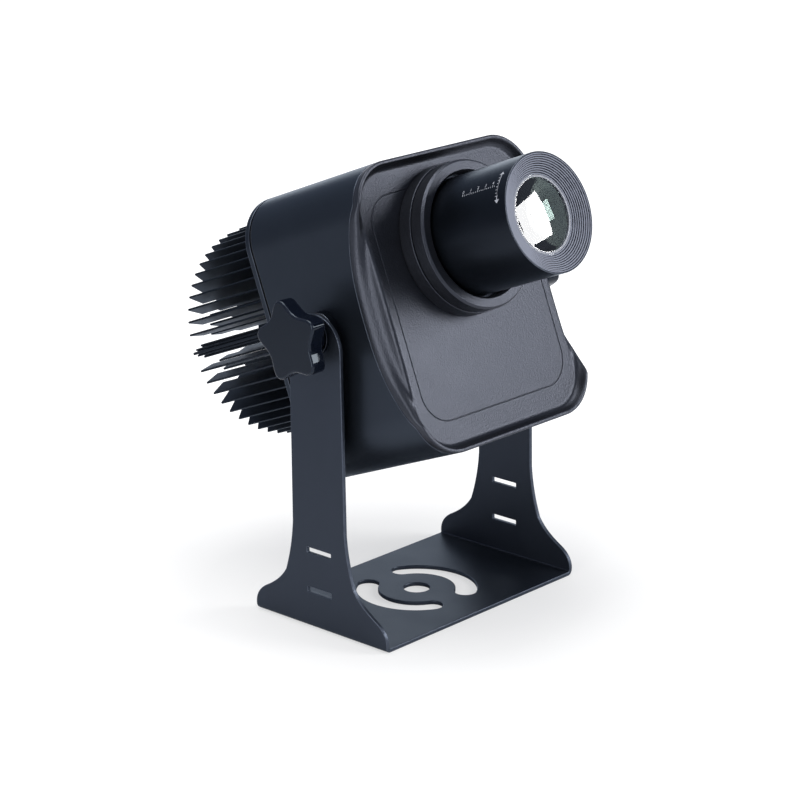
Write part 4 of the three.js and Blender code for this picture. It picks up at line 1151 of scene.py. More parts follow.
    @staticmethod
    def _inset(loop: list[Flat], inset: float) -> list[Flat]:
        """Moves a loop into the sheet.

        Args:
            loop: the loop, with the sheet on its left.
            inset: how far.

        Returns:
            The moved loop.
        """
        sharpest = 0.8
        moved = []
        for index, here in enumerate(loop):
            before, after = Vector(loop[index - 1]), Vector(loop[(index + 1) % len(loop)])
            one, other = (Vector(here) - before).normalized(), (after - Vector(here)).normalized()
            normal = Vector((-one.y, one.x)) + Vector((-other.y, other.x))
            scale = 2 * inset / max(normal.length_squared, sharpest)
            moved.append((here[0] + normal.x * scale, here[1] + normal.y * scale))
        return moved

    @staticmethod
    def _area(loop: Sequence[Flat]) -> float:
        """Signed area of a loop, positive where it runs anticlockwise."""
        return sum(a[0] * b[1] - b[0] * a[1] for a, b in zip(loop, [*loop[1:], loop[0]])) / 2

    @staticmethod
    def _within(point: Flat, loop: Sequence[Flat]) -> bool:
        """Whether a point lies in a loop.

        Args:
            point: the point.
            loop: the loop.

        Returns:
            True inside it.
        """
        inside = False
        for (ax, ay), (bx, by) in zip(loop, [*loop[1:], loop[0]]):
            if (ay > point[1]) != (by > point[1]) and point[0] < (bx - ax) * (point[1] - ay) / (by - ay) + ax:
                inside = not inside
        return inside

    def _rim(self) -> list[Spot]:
        """The rows that round an edge of the sheet.

        Returns:
            Inset, distance from the sheet's middle and the mask for rubbing and a painted highlight of each,
            from face to face.
        """
        half, run = self.sheet / 2, self.edge_run_share * self.edge
        # The sheet's rounded rim is painted lighter: a highlight along the edge, with a little rubbing.
        at_face, at_round, at_wall = self.edge_wear
        rim = [(run, half, 0.0), (self.edge, half, at_face)]
        for step in range(1, self.edge_steps + 1):
            angle = step / self.edge_steps * math.pi / 2
            inset, drop = self.edge * (1 - math.sin(angle)), self.edge * (1 - math.cos(angle))
            rim.append((inset, half - drop, at_round))
        rim.append((0.0, half - run, at_wall))
        return rim + [(inset, -out, wear) for inset, out, wear in reversed(rim)]

    def _fold_lines(self, border: Sequence[Flat]) -> list[tuple[int, int]]:
        """Edges straight across the sheet at each step of a fold.

        Args:
            border: the loop of the unfolded sheet's flat face.

        Returns:
            The numbers of each edge's two ends in the loop.
        """
        low, high = self._fold_start - 1, self._fold_start + self._middle * 1.8
        lines = []
        for index, (run, across) in enumerate(border):
            if across < 0 or not low < abs(run) < high:
                continue
            for other, (there, below) in enumerate(border):
                if below < 0 and abs(there - run) < SAME_PLACE and abs(below + across) < 1e-3:
                    lines.append((index, other))
        return lines

    def _flat(self, loops: list[list[Flat]]) -> tuple[list[Vector], list[tuple[int, ...]]]:
        """Divides the unfolded sheet's flat face into faces.

        Args:
            loops: its border and then its holes.

        Returns:
            Points and faces.
        """
        edges, first = [], 0
        for loop in loops:
            edges += [(first + i, first + (i + 1) % len(loop)) for i in range(len(loop))]
            first += len(loop)
        edges += self._fold_lines(loops[0])
        points = [Vector(place) for loop in loops for place in loop]
        found, _, faces, *_ = delaunay_2d_cdt(points, edges, [], 0, 1e-6)
        kept = []
        for face in faces:
            middle = sum((found[i] for i in face), Vector((0, 0))) / len(face)
            in_border, *in_holes = (self._within(tuple(middle), loop) for loop in loops)
            if in_border and not any(in_holes):
                kept.append(face)
        return found, kept

    def build(self) -> None:
        """Builds the folded sheet."""
        outline = self._outline()
        if self._area(outline) < 0:
            outline.reverse()
        holes = [hole if self._area(hole) < 0 else list(reversed(hole)) for hole in self._holes()]
        form, rim, loops = Form(), self._rim(), []
        for loop in [outline, *holes]:
            rows = [self._inset(loop, inset) for inset, _, _ in rim]
            loops.append(rows[0])
            folded = [[self._folded(*place, out) for place in row] for row, (_, out, _) in zip(rows, rim)]
            form.loft(folded, [wear for _, _, wear in rim], closed=False)
        found, faces = self._flat(loops)
        for out in (self.sheet / 2, -self.sheet / 2):
            form.add([self._folded(place.x, place.y, out) for place in found], faces)
        form.piece("folded_yoke", Seat.YOKE.matrix, SATIN_COAT, "yoke", "yoke_bracket")


# Head shell


@dataclass
class HeadShell:
    """Sleeve, front cover with its lip and scoops, rear cover and the seal between them.

    The cover's rim runs from its outer foot to the panel in legs that end at whole numbers or halves.
    """

    width: float = 150.4
    height: float = 172.8
    corner: float = 29.4
    drop: float = 1.7
    sleeve_wall: float = 2.5
    sleeve_edge: float = 0.35
    sleeve_wear: float = 0.7
    edge_steps: int = 3
    crease: float = 49.2
    bow: float = 16.3
    bow_reach: float = 66.0
    bow_power: float = 2.6
    panel: float = 47.6
    panel_edge: float = 1.2
    cover_wall: float = 3.0
    cover_seat: float = 3.0
    seam_edge: tuple[Spot, ...] = ((0.4, 0.0, 0.0), (0.25, 0.0, 0.1), (0.07, 0.07, 0.3), (0.0, 0.2, 0.1))
    rim_end: int = 8
    rim_steps: int = 4
    rim_crests: tuple[Flat, ...] = ((1.0, 1.0), (3.5, 0.6))
    rim_crest_width: float = 1.2
    rim_wear: float = 0.12
    rim_sharp: float = 50.0
    lip_rise: float = 6.0
    lip_width: float = 2.6
    lip_round: float = 0.9
    lip_lean: float = 0.3
    channel: float = 4.1
    scoop_start: float = 0.62
    scoop_rim: float = 0.3
    scoop_width: float = 7.8
    scoop_roll: Flat = (2.8, 6.2)
    scoop_wall: Flat = (5.4, 11.8)
    scoop_slopes: Flat = (1.2, 4.5)
    groove: float = 0.34
    groove_depth: float = 0.3
    groove_edge: float = 0.12
    groove_flank: Flat = (0.04, 0.1)
    groove_apron: Flat = (0.5, 0.6)
    groove_side: float = 12.6
    groove_end: float = 18.9
    groove_corner: float = 19.0
    opening: float = 38.5
    opening_edge: float = 0.3
    opening_apron: float = 3.0
    rear: float = -48.0
    rear_band: float = 4.8
    rear_wall: float = 3.0
    rear_chamfer: float = 1.5
    rear_round: float = 0.8
    rear_rim: float = 6.0
    rear_flat: float = 20.0
    pedestal_hole: float = 21.3
    seal: float = 1.0
    seal_inset: float = 0.9
    seal_width: float = 4.0
    gap: float = 0.3
    post: float = 5.0
    post_bore: float = 2.3
    post_length: float = 18.0
    post_inset: float = 13.5

    @cached_property
    def section(self) -> RoundedOutline:
        """The outline of the shell."""
        return RoundedOutline(self.width, self.height, self.corner, -self.drop)

    @cached_property
    def shares(self) -> list[Flat]:
        """At each place round the outline, how deep the seam bows and how much of the scoop there is.

        Returns:
            Both shares for each place.
        """
        found = []
        for _, up, _, out_up in self.section.places():
            away = abs(up + self.corner * out_up)
            bow = max(0.0, 1 - (away / self.bow_reach) ** self.bow_power)
            scoop = min(1.0, bow / self.scoop_start)
            found.append((bow, scoop * scoop * (3 - 2 * scoop)))
        return found

    def _row(self, ring: Ring) -> list[Point]:
        """One row round the section.

        Args:
            ring: inset and front for the shares of the bow and of the scoop.

        Returns:
            The row's points.
        """
        row = []
        for (x, up, a, b), (bow, scoop) in zip(self.section.places(), self.shares):
            inset, front = ring(bow, scoop)
            out = self.corner - inset
            row.append((x + out * a, up + out * b - self.drop, front))
        return row

    def _seam(self, bow: float) -> float:
        """Where the cover starts."""
        return self.crease - self.bow * bow

    def _mouth(self, bow: float) -> float:
        """Where the sleeve ends."""
        return self._seam(bow) - self.gap

    @staticmethod
    def _along(legs: Sequence[tuple[float, Flat, Flat]], t: float) -> Flat:
        """A place on a profile of curved legs.

        Args:
            legs: where each leg ends: its t, its place and the direction in which the profile passes.
            t: how far along the profile.

        Returns:
            The place.
        """
        for (low, start, way), (high, end, arrival) in zip(legs, legs[1:]):
            if t <= high:
                break
        return bend(start, way, end, arrival, (t - low) / (high - low))

    def _lip(self, t: float, bow: float) -> Flat:
        """A place on the rim where it is all lip.

        Args:
            t: how far along the rim.
            bow: share of the seam's bow.

        Returns:
            Inset and front.
        """
        top = self.panel + self.lip_rise - self.bow * bow
        r, w = self.lip_round, self.lip_width
        return self._along([
            (0, (0.0, top - r), (0, 1)), (2, (r, top), (1, 0)), (3, (w - r, top), (1, 0)),
            (4, (w, top - r), (self.lip_lean, -1)),
            (self.rim_end, (w + self.channel, self.panel), (1, 0)),
        ], t)

    def _scoop(self, t: float, bow: float) -> Flat:
        """A place on the rim where it is all scoop.

        Args:
            t: how far along the rim.
            bow: share of the seam's bow.

        Returns:
            Inset and front.
        """
        start = self._seam(bow) + self.scoop_rim
        roll, wall, slopes = self.scoop_roll, self.scoop_wall, self.scoop_slopes
        crest = start + roll[1]
        scale = (self.panel - crest) / (self.panel - self._seam(1.0) - self.scoop_rim - roll[1])
        return self._along([
            (0, (0.0, start), (0, 1)), (3, (roll[0], crest), (1, slopes[0] * max(0.0, scale))),
            (6.5, (wall[0], crest + (wall[1] - roll[1]) * scale), (1, slopes[1] * scale)),
            (self.rim_end, (self.scoop_width, self.panel), (1, 0)),
        ], t)

    def _rim(self, t: float) -> Ring:
        """One row of the rim, which passes from lip to scoop round the section.

        Args:
            t: how far along the rim.

        Returns:
            Inset and front for the shares of the bow and of the scoop.
        """

        def ring(bow: float, scoop: float) -> Flat:
            """Inset and front between lip and scoop."""
            start, end = self._lip(t, bow), self._scoop(t, bow)
            return start[0] + (end[0] - start[0]) * scoop, start[1] + (end[1] - start[1]) * scoop

        return ring

    def _panel_inset(self, scoop: float) -> float:
        """Where the flat panel starts."""
        inner = self.lip_width + self.channel
        return inner + (self.scoop_width - inner) * scoop

    def _circle_row(self, loop: list[Flat], radius: float, front: float) -> list[Point]:
        """A row on a circle round the lens axis, which faces a loop's places."""
        angles = [math.atan2(up - LENS_RISE, x) for x, up in loop]
        return [(radius * math.cos(a), LENS_RISE + radius * math.sin(a), front) for a in angles]

    def _panel_rows(self) -> list[list[Point]]:
        """The rows of the flat panel, over the groove and into the lens opening.

        Returns:
            The rows.
        """
        width, height = self.width - 2 * self.groove_side, self.height - 2 * self.groove_end
        middle = RoundedOutline(width, height, self.groove_corner, -self.drop)
        face, floor, g, edge = self.panel, self.panel - self.groove_depth, self.groove, self.groove_edge
        (near, far), (outer, inner) = self.groove_flank, self.groove_apron
        profile = [
            (-outer, face), (-edge, face), (near, face - edge), (far, floor), (g - far, floor),
            (g - near, face - edge), (g + edge, face), (g + inner, face),
        ]
        rows = [middle.row(inset, front) for inset, front in profile]
        hole, edge = self.opening, self.opening_edge
        loop, back = middle.loop(g + inner), face - self.cover_wall
        apron = hole + self.opening_apron
        circles = [(apron, face), (hole + edge, face), (hole, face - edge), (hole, back)]
        return rows + [self._circle_row(loop, radius, front) for radius, front in circles]

    def build_cover(self) -> None:
        """Builds the front cover."""
        rows: list[list[Point]] = []
        wear: list[float] = []

        def add(ring: Ring, worn_and_painted_light: float = 0.0) -> None:
            """Adds one row round the section."""
            rows.append(self._row(ring))
            wear.append(worn_and_painted_light)

        back = self.panel - self.cover_wall
        add(lambda bow, scoop: (self.cover_seat, min(self._seam(bow), back)))
        add(lambda bow, scoop: (self.cover_seat, self._seam(bow)))
        # The cover's rounded seam edge is painted lighter: the highlight along the crease.
        for inset, rise, worn_and_painted_light in self.seam_edge:
            add(lambda bow, scoop, i=inset, r=rise: (i, self._seam(bow) + r), worn_and_painted_light)
        # Near the lip's crests the rim is painted lighter: highlights along them, with a little rubbing.
        for index in range(self.rim_end * self.rim_steps + 1):
            t = index / self.rim_steps
            near = [wear * (1 - abs(t - at) / self.rim_crest_width) for at, wear in self.rim_crests]
            add(self._rim(t), self.rim_wear * max(0.0, *near))
        add(lambda bow, scoop: (self._panel_inset(scoop) + self.panel_edge, self.panel))
        panel = self._panel_rows()
        rows += panel
        wear += [0.0] * len(panel)
        add(lambda bow, scoop: (self._panel_inset(scoop) + self.cover_wall, back))
        cover, matrix = Form().loft(rows, wear), Seat.HEAD.matrix
        cover.piece("front_shell", matrix, TEXTURED_COAT, "head", "front_cover", sharp=self.rim_sharp)

    def build_sleeve(self) -> None:
        """Builds the sleeve with its screw posts."""
        rear = self.rear + self.rear_band + 2 * self.gap + self.seal
        wall, edge, steps = self.sleeve_wall, self.sleeve_edge, self.edge_steps
        rows, wear = [], []

        def add(inset: float, front: Callable[[float], float], worn_and_painted_light: float = 0.0) -> None:
            """Adds one row round the section."""
            rows.append(self._row(lambda bow, scoop: (inset, front(bow))))
            wear.append(worn_and_painted_light)

        # The sleeve's rounded ends are painted lighter: highlights along the seams, with a little rubbing.
        turns = [step / steps * math.pi / 2 for step in range(steps + 1)]
        add(wall, lambda bow: rear)
        add(2 * edge, lambda bow: rear)
        for turn in turns:
            back = rear + edge * (1 - math.cos(turn))
            add(edge * (1 - math.sin(turn)), lambda bow, place=back: place, self.sleeve_wear)
        add(0, lambda bow: rear + 2 * edge)
        add(0, lambda bow: self._mouth(bow) - 2 * edge)
        for turn in turns:
            inset, short = edge * (1 - math.cos(turn)), edge * (1 - math.sin(turn))
            add(inset, lambda bow, less=short: self._mouth(bow) - less, self.sleeve_wear)
        add(2 * edge, self._mouth)
        add(wall, self._mouth)
        form, end, bore, post = Form().loft(rows, wear), rear + self.post_length, self.post_bore, self.post
        post_x, post_up = self.width / 2 - self.post_inset, self.height / 2 - self.post_inset
        corners = [Corner(bore, rear), Corner(post, rear, 0.3), Corner(post, end, 0.5), Corner(bore, end)]
        for x in (-post_x, post_x):
            for up in (-post_up, post_up):
                form.lathed(corners, 24, x, up - self.drop)
        form.piece("sleeve", Seat.HEAD.matrix, SMOOTH_COAT, "head", "housing_sleeve")

    def build_rear(self) -> None:
        """Builds the rear cover and the seal."""
        rear, front = self.rear, self.rear + self.rear_band
        floor = rear + self.rear_wall
        spots = rounded([
            Corner(self.rear_flat, rear), Corner(self.rear_chamfer, rear, self.rear_round),
            Corner(0, rear + self.rear_chamfer, self.rear_round), Corner(0, front, 0.35),
            Corner(self.rear_rim, front, 0.3), Corner(self.rear_rim, floor, 0.5),
            Corner(self.rear_flat, floor),
        ], closed=False)
        loop = self.section.loop(self.rear_flat)
        rows = [self._circle_row(loop, self.pedestal_hole, rear)]
        rows += [self.section.row(inset, along) for inset, along, _ in spots]
        rows.append(self._circle_row(loop, self.pedestal_hole, floor))
        cover = Form().loft(rows, [0.0, *(spot[2] for spot in spots), 0.0])
        cover.piece("rear_shell", Seat.HEAD.matrix, SMOOTH_COAT, "head", "rear_cover")
        low, high = front + self.gap, front + self.gap + self.seal
        a, b = self.seal_inset, self.seal_inset + self.seal_width
        corners = [Corner(a, low, 0.25), Corner(b, low, 0.2), Corner(b, high, 0.2), Corner(a, high, 0.25)]
        rows = [self.section.row(inset, along) for inset, along, _ in rounded(corners, steps=3)]
        seal = Form().loft(rows, [0.0] * len(rows))
        seal.piece("seal", Seat.HEAD.matrix, RUBBER, "head", "rear_seal")

    def build(self) -> None:
        """Builds the whole shell."""
        self.build_cover()
        self.build_sleeve()
        self.build_rear()


@dataclass
class SocketScrew:
    """A socket head screw along the third direction, its head at the back.

    Its drive is a hexagon with a chamfer, which drive_edge gives outwards and in depth.
    """

    diameter: float = 4.0
    head: float = 7.4
    height: float = 2.6
    length: float = 14.0
    drive: float = 2.5
    drive_depth: float = 1.4
    drive_edge: Flat = (0.12, 0.15)
    drive_wear: float = 0.5
    land: float = 2.0
    tip: float = 0.2
    sides: int = 36

    def form(self, seat: float) -> Form:
        """The screw.

        Args:
            seat: where the underside of its head is.

        Returns:
            The screw's form.
        """
        angles = [2 * math.pi * i / self.sides for i in range(self.sides)]
        top, end = seat - self.height, seat + self.length
        head, shank = self.head / 2, self.diameter / 2
        spots = rounded([
            Corner(self.land, top), Corner(head, top, 0.5), Corner(head, seat, 0.2), Corner(shank, seat),
            Corner(shank, end, 0.6), Corner(self.tip, end),
        ], closed=False)
        rows = [[(r * math.sin(a), r * math.cos(a), z) for a in angles] for r, z, _ in spots]
        offs = [(a + math.pi / 6) % (math.pi / 3) - math.pi / 6 for a in angles]

        def drive_row(grow: float, along: float) -> list[Point]:
            """A row on the hexagon, or as far outside it as it grows."""
            reach = [(self.drive / 2 + grow) / math.cos(off) for off in offs]
            return [(r * math.sin(a), r * math.cos(a), along) for r, a in zip(reach, angles)]

        grow, deep = self.drive_edge
        floor = top + self.drive_depth
        socket = [[(0.0, 0.0, floor)], drive_row(0, floor), drive_row(0, top + deep), drive_row(grow, top)]
        wear = [0, 0, 0, self.drive_wear, *(spot[2] for spot in spots), 0]
        return Form().loft([*socket, *rows, [(0.0, 0.0, end)]], wear, closed=False)


# Heatsink


@dataclass
class Heatsink:
    """Rings of thin fins between four ribbed pillars round a core post."""

    base: float = 67.0
    front: float = -48.3
    thickness: float = 6.0
    pedestal: float = 21.0
    pedestal_front: float = -40.0
    pedestal_sunk: float = 1.0
    rear: float = -129.3
    fin: float = 1.3
    fin_edge: float = 0.28
    fin_sunk: float = 1.0
    outer: Flat = (55.0, 66.4)
    middle: Flat = (41.0, 49.3)
    inner: Flat = (25.0, 33.5)
    per_quarter: int = 11
    pitch: float = 6.98
    inner_per_quarter: int = 5
    turn: float = -1.0
    ribs: tuple[Flat, ...] = ((1.7, 66.9), (4.9, 64.1), (8.6, 59.2))
    groove: float = 0.9
    rib: float = 1.1
    pillar_edge: float = 0.25
    pillar_draw: float = 0.7
    pillar_sharp: float = 25.0
    post: float = 10.5
    post_sunk: float = 4.0
    screws: SocketScrew = field(default_factory=SocketScrew)

    @property
    def _fin_front(self) -> float:
        """Where fins and pillars end inside the base."""
        return self.front - self.thickness + self.fin_sunk

    def _fin(self, span: Flat) -> Form:
        """One upright fin."""
        outline = rectangle(self.fin, *span, self.fin_edge)
        return Form().bar(outline, self.rear, self._fin_front, self.fin_edge)

    def _rings(self) -> Iterable[tuple[str, Flat, int, float, float]]:
        """The rings of fins.

        Returns:
            Name, span, count in a quarter, first angle and pitch of each.
        """
        first = (90 - (self.per_quarter - 1) * self.pitch) / 2
        second = first + self.pitch / 2
        wide = (90 - 2 * second) / (self.inner_per_quarter - 1)
        yield "outer_fins", self.outer, self.per_quarter, first, self.pitch
        yield "middle_fins", self.middle, self.per_quarter, first, self.pitch
        yield "inner_fins", self.inner, self.inner_per_quarter, second, wide

    def _pillar(self) -> Form:
        """One ribbed pillar.

        Returns:
            Its form, at the top of the rings.
        """
        half: list[Corner] = [Corner(self.ribs[0][0] / 2, self.ribs[0][1], 0.3)]
        for width, tip in self.ribs[1:]:
            inside, low = width / 2 - self.rib, tip - self.groove
            half += [Corner(half[-1].out, low, 0.15, 0), Corner(inside, low, 0.15, 0)]
            half += [Corner(inside, tip, self.pillar_edge), Corner(width / 2, tip, self.pillar_edge)]
        half.append(Corner(half[-1].out, self.outer[0], 0.2))
        outline = [*half, *(Corner(-c.out, c.along, c.round, c.wear) for c in reversed(half))]
        loop = [Vector((a, b)) for a, b, _ in rounded(outline, steps=2)]
        middle = Vector((0, sum(self.outer) / 2))

        def at(inset: float) -> list[Flat]:
            """The pillar's loop, drawn in a little at its ends."""
            return [tuple(p + (middle - p).normalized() * inset * self.pillar_draw) for p in loop]

        return Form().bar(at, self.rear, self._fin_front, self.pillar_edge)

    def build_base(self) -> None:
        """Builds the base with its pedestal and the core post."""
        front, back = self.front, self.front - self.thickness
        form = Form().lathed([
            Corner(0, front), Corner(self.base, front, 0.4), Corner(self.base, back, 0.8), Corner(0, back),
        ], 160)
        sunk = front - self.pedestal_sunk
        form.lathed([
            Corner(0, sunk), Corner(self.pedestal, sunk), Corner(self.pedestal, self.pedestal_front, 0.4),
            Corner(0, self.pedestal_front),
        ], 72, 0, LENS_RISE - SINK_RISE)
        sunk = front - self.post_sunk
        form.lathed([
            Corner(0, self.rear), Corner(self.post, self.rear, 0.8), Corner(self.post, sunk), Corner(0, sunk),
        ], 64)
        form.piece("heatsink_base", Seat.SINK.matrix, SINK_ANODISED, "head", "heatsink")

    def build_fins(self) -> None:
        """Builds the rings of fins and the pillars."""
        matrix, quarter = Seat.SINK.matrix, math.pi / 2
        for name, span, count, first, pitch in self._rings():
            Repeat.ROUND.piece(
                name, self._fin(span), matrix, SINK_ANODISED, "head", Count=4 * count, Group=count,
                Start=-math.radians(self.turn + first), Pitch=-math.radians(pitch), Group_Pitch=-quarter,
            )
        Repeat.ROUND.piece(
            "pillars", self._pillar(), matrix, SINK_ANODISED, "head", sharp=self.pillar_sharp,
            Count=4, Group=4, Start=-math.radians(self.turn), Pitch=-quarter,
        )

    def build_screws(self) -> None:
        """Builds the screws that hold base and rear cover to the sleeve's posts."""
        shell = HeadShell()
        Repeat.CORNERS.piece(
            "rear_screws", self.screws.form(self.front),
            Seat.HEAD.matrix @ Matrix.Translation((0, -shell.drop, 0)), STEEL, "head",
            *(f"rear_cover_screw_{i}" for i in range(1, 5)),
            Width=shell.width - 2 * shell.post_inset, Height=shell.height - 2 * shell.post_inset,
        )

    def build(self) -> None:
        """Builds the whole heatsink and the screws beside it."""
        self.build_base()
        self.build_fins()
        self.build_screws()


# Lens


@dataclass
class Collar:
    """The collar on the panel, in two steps."""

    radius: float = 45.2
    step: float = 0.7
    base: Flat = (47.9, 57.1)
    ring: Flat = (57.4, 66.6)
    base_bore: float = 38.5
    ring_bore: float = 37.0
    chamfer: float = 1.3
    edge: float = 0.4
    chamfer_edge: float = 0.3
    foot_wear: float = 0.4
    front_wear: float = 0.3
    sides: int = 160

    def build(self) -> None:
        """Builds both steps."""
        low, high = self.base
        # The rounded edges of both steps are painted lighter: highlights, with a little rubbing.
        lower = Form().lathed([
            Corner(self.base_bore, low), Corner(self.radius, low, self.edge, self.foot_wear),
            Corner(self.radius, high, self.edge, self.front_wear), Corner(self.base_bore, high),
        ], self.sides)
        lower.piece("collar_lower", Seat.LENS.matrix, TEXTURED_COAT, "head", "collar_base")
        low, high = self.ring
        outer, bore, c, edge = self.radius - self.step, self.ring_bore, self.chamfer, self.chamfer_edge
        upper = Form().lathed([
            Corner(bore, low), Corner(outer, low, self.edge, self.foot_wear), Corner(outer, high - c, edge),
            Corner(outer - c, high, edge), Corner(bore + c, high, edge), Corner(bore, high - c, edge),
        ], self.sides)
        upper.piece("collar_upper", Seat.LENS.matrix, TEXTURED_COAT, "head", "collar_ring")


@dataclass
class LensBarrel:
    """The barrel that turns to focus, with its stepped front ring, lens and keeper ring."""

    radius: float = 35.4
    wall: float = 2.4
    rear: float = 20.5
    front: float = 123.9
    rim: float = 0.6
    gap: float = 0.3
    sides: int = 160
    lens_sides: int = 128
    ring_depth: float = 7.0
    bore: float = 24.6
    steps: int = 9
    step_start: float = 33.9
    step_end: float = 23.3
    step_drop: float = 5.2
    step_groove: Flat = (0.46, 0.7)
    step_edge: float = 0.05
    step_wear: float = 0.8
    ledge: float = 2.4
    ledge_depth: float = 4.0
    lens_edge: float = 4.0
    lens_front: float = 2.6
    lens_back: float = 1.6
    lens_sink: float = 6.0
    lens_rim: float = 2.6
    lens_clear: float = 0.1
    lens_divisions: int = 20
    keeper: float = 1.3
    keeper_gap: float = 0.2
    keeper_depth: float = 0.6

    @property
    def _step_width(self) -> float:
        """From one step of the front ring to the next."""
        return (self.step_start - self.step_end) / self.steps

    def _shade(self, out: float) -> float:
        """1 in a groove between two steps of the front ring, where its shade is painted dark, 0 on a step."""
        inwards, on_steps = self.step_start - out, self.step_end <= out <= self.step_start
        return float(on_steps and inwards % self._step_width <= self.step_groove[0])

    def _build_lens(self, radius: float, low: float, high: float) -> None:
        """Builds the front lens, clear in front and with a green coating at the back.

        Args:
            radius: of its rim.
            low: rear of the rim.
            high: front of the rim.
        """
        clear, divisions = radius - self.lens_rim, self.lens_divisions
        shares = [i / divisions for i in range(divisions + 1)]
        spots = [(clear * t, low - self.lens_back * (1 - t * t), 0.0) for t in shares]
        rim = [Corner(clear, low), Corner(radius, low, 0.3), Corner(radius, high, 0.3), Corner(clear, high)]
        spots += rounded(rim, closed=False)[1:-1]
        spots += [(clear * t, high + self.lens_front * (1 - t * t), 0.0) for t in reversed(shares)]
        form = Form().turned(spots, self.lens_sides)
        lens = form.piece("lens_glass", Seat.LENS.matrix, FRONT_GLASS, "lens_barrel", "front_lens").data
        lens.materials.append(TINTED_GLASS.material())
        forwards = Seat.LENS.matrix.to_3x3() @ Vector((0, 0, 1))
        for face in lens.polygons:
            face.material_index = 1 if face.normal.dot(forwards) < 0 else 0

    def _ring_corners(self, outer: float, skirt: float) -> list[Corner]:
        """The front ring's profile.

        Args:
            outer: radius of its outer wall.
            skirt: radius of its inner part behind the barrel's seat.

        Returns:
            The corners.
        """
        width, drop = self._step_width, self.step_drop / self.steps
        across, deep = self.step_groove
        corners = [Corner(outer, self.front, 0.15, 0)]
        for step in range(self.steps):
            edge, level = self.step_start - step * width, self.front - step * drop
            corners.append(Corner(edge, level, self.step_edge, self.step_wear))
            corners.append(Corner(edge - across / 2, level - drop - deep, 0.3))
            corners.append(Corner(edge - across, level - drop, self.step_edge, self.step_wear))
        seat = self.front - self.lens_sink + self.lens_clear
        stop = self.front - self.lens_sink - self.lens_edge - self.gap
        throat, back = self.bore - self.ledge, self.front - self.ring_depth
        corners += [
            Corner(self.step_end, self.front - self.step_drop, 0.1), Corner(self.step_end, seat),
            Corner(self.bore, seat), Corner(self.bore, stop), Corner(throat, stop),
            Corner(throat, stop - self.ledge_depth), Corner(skirt, stop - self.ledge_depth),
            Corner(skirt, back), Corner(outer, back),
        ]
        return corners

    def build_barrel(self) -> None:
        """Builds the barrel and its front ring."""
        inner, rim = self.radius - self.wall, self.radius - self.rim
        seat = self.front - self.ring_depth - self.gap
        barrel = Form().lathed([
            Corner(inner, self.rear, 0.2), Corner(self.radius, self.rear, 0.3),
            Corner(self.radius, self.front, 0.25), Corner(rim, self.front, 0.15), Corner(rim, seat),
            Corner(inner, seat),
        ], self.sides)
        barrel.piece("barrel", Seat.LENS.matrix, ANODISED, "lens_barrel", "lens_barrel")
        corners = self._ring_corners(rim - self.gap, inner - self.gap)
        # The grooves' shade is painted through the edge mask.
        spots = [(out, along, self._shade(out)) for out, along, _ in rounded(corners, steps=2)]
        ring = Form().turned(spots, self.sides)
        ring.piece("front_ring", Seat.LENS.matrix, RING_ANODISED, "lens_barrel", "lens_front_ring")

    def build_optics(self) -> None:
        """Builds the front lens and its keeper ring."""
        top = self.front - self.lens_sink
        self._build_lens(self.bore - self.gap, top - self.lens_edge, top)
        outer, low = self.step_end - self.keeper_gap, top + self.lens_clear
        inner, high = outer - self.keeper, low + self.keeper_depth
        keeper = Form().lathed([
            Corner(inner, low, 0.1), Corner(outer, low, 0.1), Corner(outer, high, 0.2),
            Corner(inner, high, 0.2),
        ], self.lens_sides)
        keeper.piece("keeper_ring", Seat.LENS.matrix, KEEPER_ANODISED, "lens_barrel", "lens_retaining_ring")

    def build(self) -> None:
        """Builds the whole lens."""
        self.build_barrel()
        self.build_optics()


